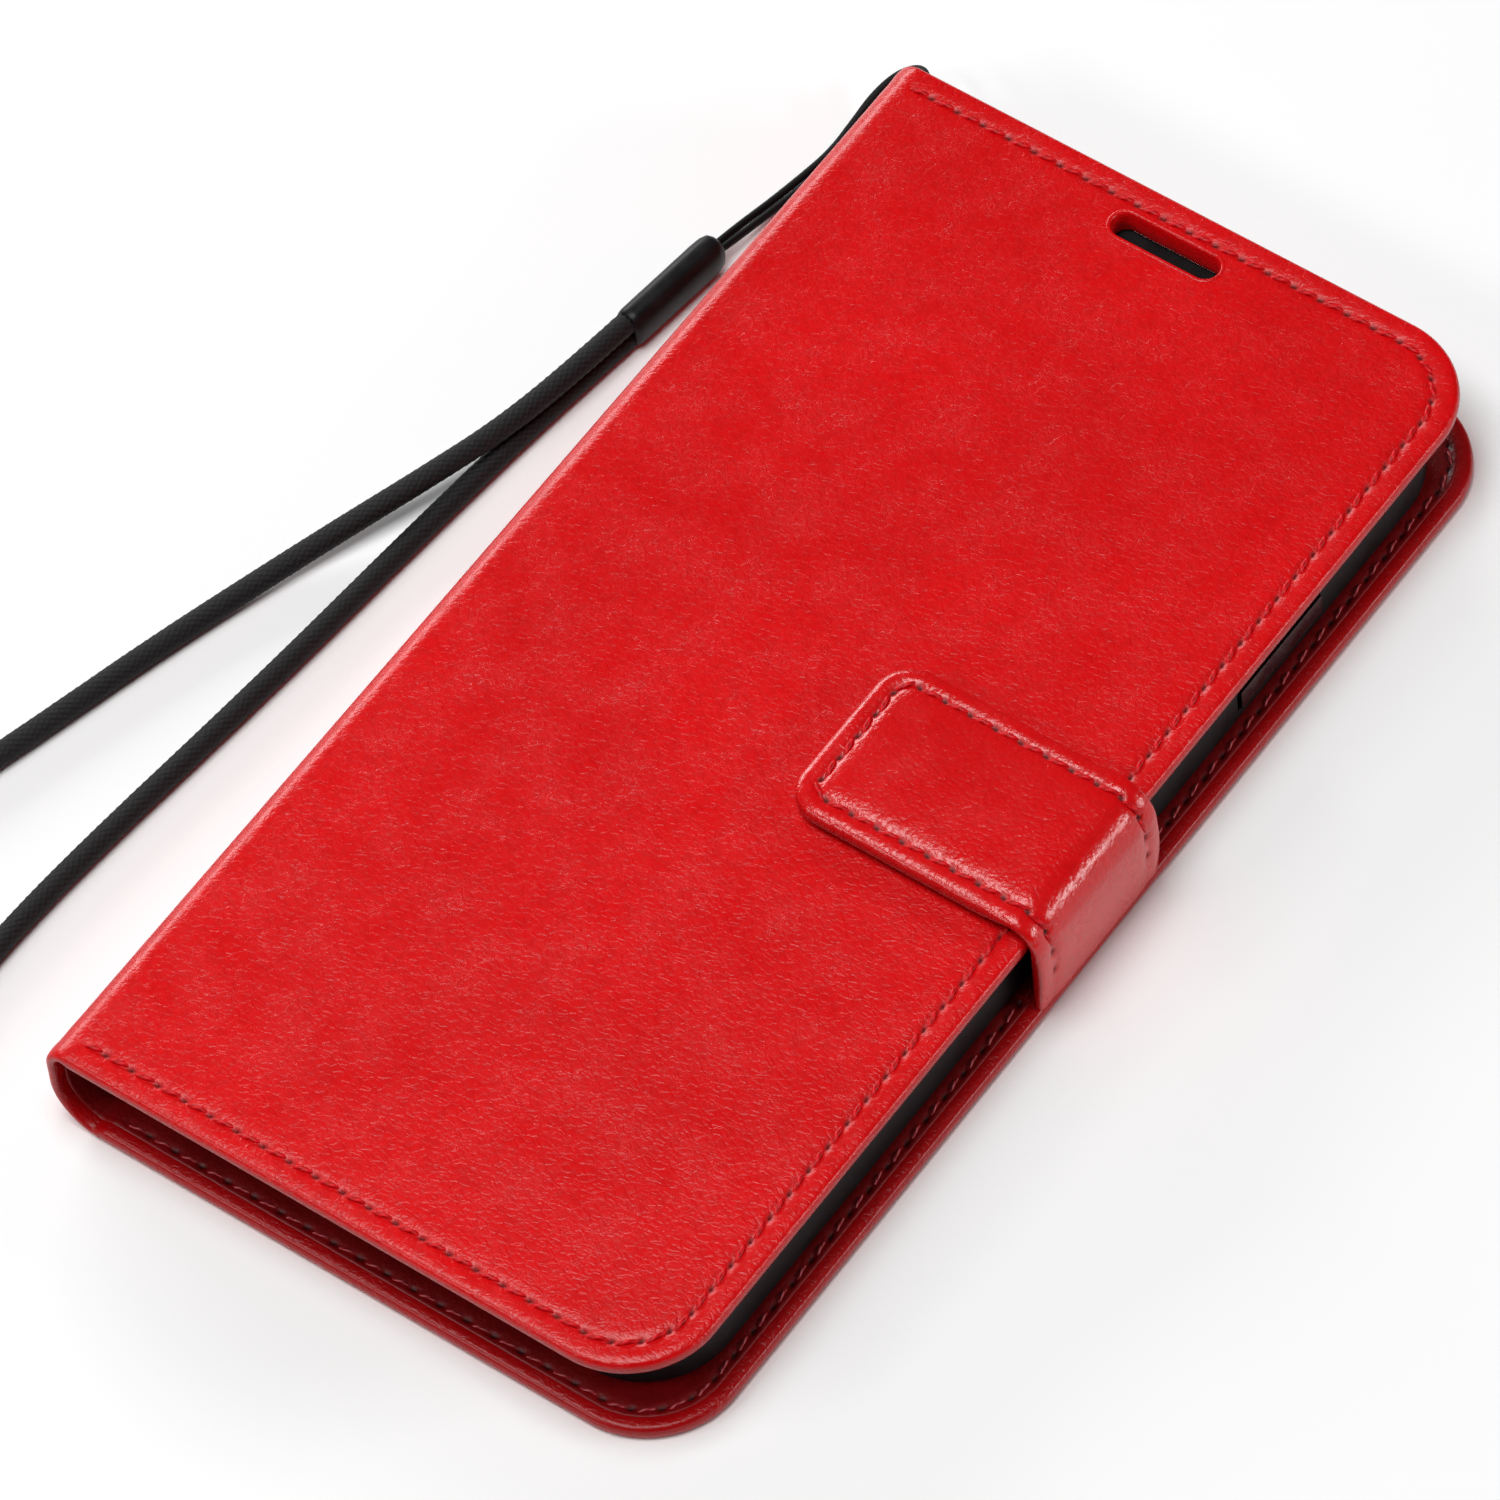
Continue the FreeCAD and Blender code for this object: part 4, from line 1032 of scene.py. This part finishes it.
def strap_crown(run, across, share):
    """The tab swells a little over its filler, and the side bows outward."""
    if share > 0.5:
        return 0.0
    middle = 1 - (across / STRAP_HALF) ** 2
    swell = smoothstep(run, 1.5, 9.0) * (1 - smoothstep(run, strap_flat - 6, strap_over))
    down = (run - strap_over + BOW_EARLY) / (strap_rise + BOW_EARLY)
    bow = math.sin(math.pi * down) if 0 < down < 1 else 0.0
    return TAB_SWELL * middle * swell + SIDE_BOW * bow


strap = shell("strap", STRAP_STRIP, STRAP_RINGS, strap_thickness, STRAP_LEATHER,
              groove=0.16, dent=0.30, crown=strap_crown)


def keep_part(made, name, above):
    """A copy of the strap's mesh on one side of the level at which it is divided."""
    bm = bmesh.new()
    bm.from_mesh(made.data)
    geometry = list(bm.verts) + list(bm.edges) + list(bm.faces)
    bmesh.ops.bisect_plane(bm, geom=geometry, plane_co=(0, 0, STRAP_SPLIT * MM),
                           plane_no=(0, 0, 1), clear_inner=above, clear_outer=not above)
    bmesh.ops.holes_fill(bm, edges=[e for e in bm.edges if e.is_boundary], sides=0)
    bmesh.ops.scale(bm, vec=(1 / MM, 1 / MM, 1 / MM), verts=bm.verts)
    return make_object(name, bm, *made.data.materials)


def split_marks(height, outside):
    """The strap's stitch places on one face: those of the tab and those of the side."""
    tab, side = [], []
    for mark in strip_marks(STRAP_STRIP, height, outside):
        (tab if mark[0].z > STRAP_SEAM_SPLIT else side).append(mark)
    return tab, side


TOP_SUNK = 0.12             # share of the strap's thickness at which its upper seam's line lies
UNDER_SUNK = 0.06
outer_tab, outer_side = split_marks(lambda run: -TOP_SUNK * strap_thickness(run), True)
under_tab, _ = split_marks(lambda run: UNDER_SUNK - strap_thickness(run), False)
strap_tab = keep_part(strap, "strap_tab", True)
strap_side = keep_part(strap, "strap_side", False)
bpy.data.objects.remove(strap)
strap_tab_seam = stitches("strap_tab_seam", outer_tab, SEAM_THREAD)
strap_side_seam = stitches("strap_side_seam", outer_side, SEAM_THREAD)
strap_under_seam = stitches("strap_under_seam", under_tab, SEAM_THREAD, radius=0.2, length=2.4)

# A point this far back from the fold, short of the front cover's edge.
FOLD_REACH = 2.6
tab_fold_end = metres(strap_out - FOLD_REACH, 0, tab_high.z)
for piece in (strap_tab, strap_tab_seam, strap_under_seam):
    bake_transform(piece)
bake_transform(strap_side)
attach(strap_side_seam, "strap_side")
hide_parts("strap_tab_skin", "strap_tab_lining")
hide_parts("strap_side_skin", "strap_side_lining", "strap_root")
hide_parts("strap_stitching")


PAD_SHORT = 5.2             # the pad stops this far short of the CAD filler's end, clear of the fold
PAD_EDGE = 0.4


def strap_pad():
    """The foam pad within the tab, with rounded edges."""
    low, high = box_mm("strap_filler")
    high.x -= PAD_SHORT
    bm = bmesh.new()
    bmesh.ops.create_cube(bm, size=1)
    bmesh.ops.scale(bm, vec=high - low, verts=bm.verts)
    bmesh.ops.translate(bm, vec=(low + high) / 2, verts=bm.verts)
    bmesh.ops.bevel(bm, geom=list(bm.edges), offset=PAD_EDGE, segments=3, profile=0.5,
                    affect="EDGES")
    pad = make_object("strap_pad", bm, FOAM)
    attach(pad, "strap_tab")
    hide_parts("strap_filler")


strap_pad()


# ---------------------------------------------------------------- pockets

def pocket_panel(node, radius, rim_line):
    """A leather pocket panel with rounded edges and a line pressed in along them."""
    low, high = box_mm(node)
    middle = high.z - (high.z - low.z) * 0.4
    line_half, line_deep = 0.2, 0.12
    profile = [(2.0, high.z), (0.12, high.z), (0, middle), (0.1, low.z + 0.08), (0.3, low.z),
               (rim_line - line_half, low.z), (rim_line, low.z + line_deep),
               (rim_line + line_half, low.z), (rim_line + 1.2, low.z)]
    bm = bmesh.new()
    rows = []
    for inset, level in profile:
        loop = rounded_loop(low.x + inset, high.x - inset, low.y + inset, high.y - inset,
                            max(radius - inset, 0.05))
        rows.append([bm.verts.new((x, y, level)) for (x, y), _ in loop])
    skin(bm, rows)
    map_from_above(bm)
    name = node.replace("card_slot", "card_pocket").replace("panel", "leather")
    panel = make_object(name, bm, LINING_LEATHER)
    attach(panel, "front_cover")
    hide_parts(node)


pocket_panel("cash_pocket_panel", 8.0, 3.2)
for node in ("card_slot_lower", "card_slot_middle", "card_slot_upper"):
    pocket_panel(node, 1.0, 1.3)


def pocket_seam():
    """The stitches that hold the cash pocket along the spine side and the bottom end."""
    low, high = box_mm("cash_pocket_panel")
    level = low.z + 0.03
    left, bottom = low.x + 1.6, low.y + 1.5     # just inside the panel's edges
    right, top = high.x - 8.5, high.y - 8.5     # where the two far corners begin to turn
    corner = 7.0                                # left free of stitches

    def row(start, end, along):
        count = round((end - start).length / STITCH_PITCH)
        return [(start.lerp(end, (i + 0.5) / count), along, Vector((0, 0, -1)))
                for i in range(count)]

    beside_spine = row(Vector((left, top, level)), Vector((left, bottom + corner, level)),
                       Vector((0, 1, 0)))
    at_bottom = row(Vector((left + corner, bottom, level)), Vector((right, bottom, level)),
                    Vector((1, 0, 0)))
    return beside_spine + at_bottom


pocket_thread = stitches("pocket_seam", pocket_seam(), INNER_THREAD, **INNER_STITCH)
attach(pocket_thread, "front_cover")
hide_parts("pocket_stitching")


# ---------------------------------------------------------------- carried-over CAD nodes

def finish_node(node, material, bevel=0.0):
    """Give a CAD node its material and, where it shows, softened edges."""
    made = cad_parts[node]
    made.data.materials.clear()
    made.data.materials.append(material)
    if bevel:
        modifier = made.modifiers.new("soft_edges", "BEVEL")
        modifier.width = bevel * MM
        modifier.segments = 3
        modifier.limit_method = "ANGLE"
        modifier.angle_limit = math.radians(40)
        modifier.harden_normals = True


finish_node("phone_tray", TRAY_RUBBER, 0.16)
for node in ("power_key_pad", "volume_up_key_pad", "volume_down_key_pad"):
    finish_node(node, KEY_RUBBER, 0.3)
for node in ("back_board", "front_board"):
    finish_node(node, BOARD)
finish_node("keeper_plate", KEEPER_STEEL, 0.1)
for node in ("upper_strap_magnet", "lower_strap_magnet"):
    finish_node(node, MAGNET_PLATING, 0.15)


# ---------------------------------------------------------------- wrist strap

FERRULE_LENGTH = 15.1
FERRULE_HALF_WIDE = 1.9
FERRULE_HALF_TALL = 2.68
FERRULE_LEVEL = 2.7
FERRULE_SIDES = 40
FERRULE_POWER = 0.85        # 1 is an ellipse; a lower power makes the section squarer


def ferrule():
    """An oval rubber sleeve that stands on edge and grips both cords."""
    foot = Vector(LOOP_ROUTE[0])
    head = (Vector(HITCH_ROUTE[0]) + Vector(HITCH_ROUTE[-1])) / 2
    foot.z = head.z = FERRULE_LEVEL
    along = (head - foot).normalized()
    side = along.cross(Vector((0, 0, 1))).normalized()
    stations = [(0, 0.62), (0, 0.74), (0.15, 0.87), (0.5, 0.965), (1.1, 1), (4, 1), (8, 1)]
    stations += [(FERRULE_LENGTH - back, share) for back, share in (
        (2.6, 1), (1.4, 0.97), (0.6, 0.87), (0.15, 0.68), (0, 0.42))]
    bm = bmesh.new()
    rows = []
    for run, share in stations:
        row = []
        for i in range(FERRULE_SIDES):
            angle = 2 * math.pi * i / FERRULE_SIDES
            out, up = (math.copysign(abs(value) ** FERRULE_POWER, value) * share
                       for value in (math.cos(angle), math.sin(angle)))
            offset = side * (out * FERRULE_HALF_WIDE) + Vector((0, 0, up * FERRULE_HALF_TALL))
            row.append(bm.verts.new(foot + along * run + offset))
        rows.append(row)
    skin(bm, rows)
    made = make_object("ferrule", bm, FERRULE_RUBBER)
    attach(made, "back_cover")
    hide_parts("lanyard_ferrule")
    return made


def spline_points(route):
    """Points read along the route's smooth curve, in millimetres."""
    line = smooth_line("line", route, 64)
    data = bpy.data.meshes.new_from_object(line)
    points = [vertex.co / MM for vertex in data.vertices]
    bpy.data.objects.remove(line)
    bpy.data.meshes.remove(data)
    return points


BRAID_STRANDS = 12          # strands each way round the cord
BRAID_RISE = 1.05           # run of one strand's width along the cord
BRAID_RELIEF = 0.14
BRAID_DIP = 0.55            # a strand goes down by this share where it dives under
TUBE_SIDES = 48


def braid(around, run):
    """How high the braid stands, 0 to 1, at a share of a turn and a run along the cord.

    Two sets of strands wind opposite ways and take turns to lie on top.
    """
    first = BRAID_STRANDS * around + run / BRAID_RISE
    second = BRAID_STRANDS * around - run / BRAID_RISE
    over = (math.floor(first) + math.floor(second)) % 2 == 0
    across, along = (first, second) if over else (second, first)
    across = 2 * (across - math.floor(across)) - 1
    along = 2 * (along - math.floor(along)) - 1
    return (1 - across ** 2) * (1 - BRAID_DIP * along ** 2)


def braided_tube(name, points, diameter):
    """A tube along points, with the braid pressed into its surface."""
    bm = bmesh.new()
    bm.loops.layers.uv.new(FLAT)
    strand = bm.verts.layers.float.new(STRAND)
    run = 0.0
    side = Vector((0, 0, 1))
    rows, runs = [], []
    for i, point in enumerate(points):
        before, after = points[max(i - 1, 0)], points[min(i + 1, len(points) - 1)]
        along = (after - before).normalized()
        if i:
            run += (point - points[i - 1]).length
        side = (side - along * side.dot(along)).normalized()
        other = along.cross(side)
        row = []
        for j in range(TUBE_SIDES):
            share = j / TUBE_SIDES
            relief = braid(share, run)
            angle = 2 * math.pi * share
            girth = diameter / 2 - BRAID_RELIEF * (1 - relief)
            made = bm.verts.new(point + (side * math.cos(angle) + other * math.sin(angle)) * girth)
            made[strand] = relief
            row.append(made)
        rows.append(row)
        runs.append(run)
    girdle = math.pi * diameter
    map_tube(bm, skin(bm, rows), lambda row, step: (girdle * step / TUBE_SIDES, runs[row]))
    return make_object(name, bm, CORD_TEXTILE)


sleeve = ferrule()
loop_points = spline_points(LOOP_ROUTE)
wrist_loop = braided_tube("wrist_loop", loop_points, LOOP_DIAMETER)
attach(wrist_loop, "back_cover")
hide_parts("wrist_cord")
[v * MM for v in LOOP_ROUTE[0]]

hitch = smooth_line("hitch", HITCH_ROUTE, 24)
hitch.data.bevel_depth = HITCH_DIAMETER / 2 * MM
hitch.data.bevel_resolution = 4
hitch.data.use_fill_caps = True
hitch.data.materials.append(CORD_TEXTILE)
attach(hitch, "back_cover")
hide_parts("hitching_cord")
[v * MM for v in HITCH_ROUTE[0]]


# ---------------------------------------------------------------- floor and light

FLOOR_REACH = 1500
FLOOR_LEVEL = -0.03


def add_floor():
    bm = bmesh.new()
    corners = ((-1, -1), (1, -1), (1, 1), (-1, 1))
    bm.faces.new([bm.verts.new((x * FLOOR_REACH, y * FLOOR_REACH, FLOOR_LEVEL))
                  for x, y in corners])
    floor = make_object("floor", bm, FLOOR)


def add_panel_light(name, azimuth, elevation, distance, size, power):
    """A soft light that faces the case; azimuth as for the camera's, power in watts."""
    a, e = math.radians(azimuth), math.radians(elevation)
    way = Vector((math.sin(a) * math.cos(e), -math.cos(a) * math.cos(e), math.sin(e)))
    data = bpy.data.lights.new(name, "AREA")
    data.shape = "RECTANGLE"
    data.size, data.size_y = (side * MM for side in size)
    data.energy = power
    light = bpy.data.objects.new(name, data)
    scene.collection.objects.link(light)
    light.rotation_mode = "QUATERNION"
    light.rotation_quaternion = way.to_track_quat("Z", "Y")
    light.location = way * (distance * MM)


def add_world(strength):
    world = bpy.data.worlds.new("studio")
    world.use_nodes = True
    world.node_tree.nodes["Background"].inputs["Color"].default_value = (1, 1, 1, 1)
    world.node_tree.nodes["Background"].inputs["Strength"].default_value = strength
    scene.world = world


add_floor()
add_world(0.05)
add_panel_light("overhead", 330, 80, 900, (500, 500), 6.9)
add_panel_light("fore_side", 117, 18, 800, (350, 80), 2.0)
add_panel_light("spine_side", 242, 18, 800, (600, 200), 3.4)
add_panel_light("bottom_end", 328, 36, 800, (400, 80), 1.3)
scene.view_settings.view_transform = "Standard"
scene.view_settings.look = "None"
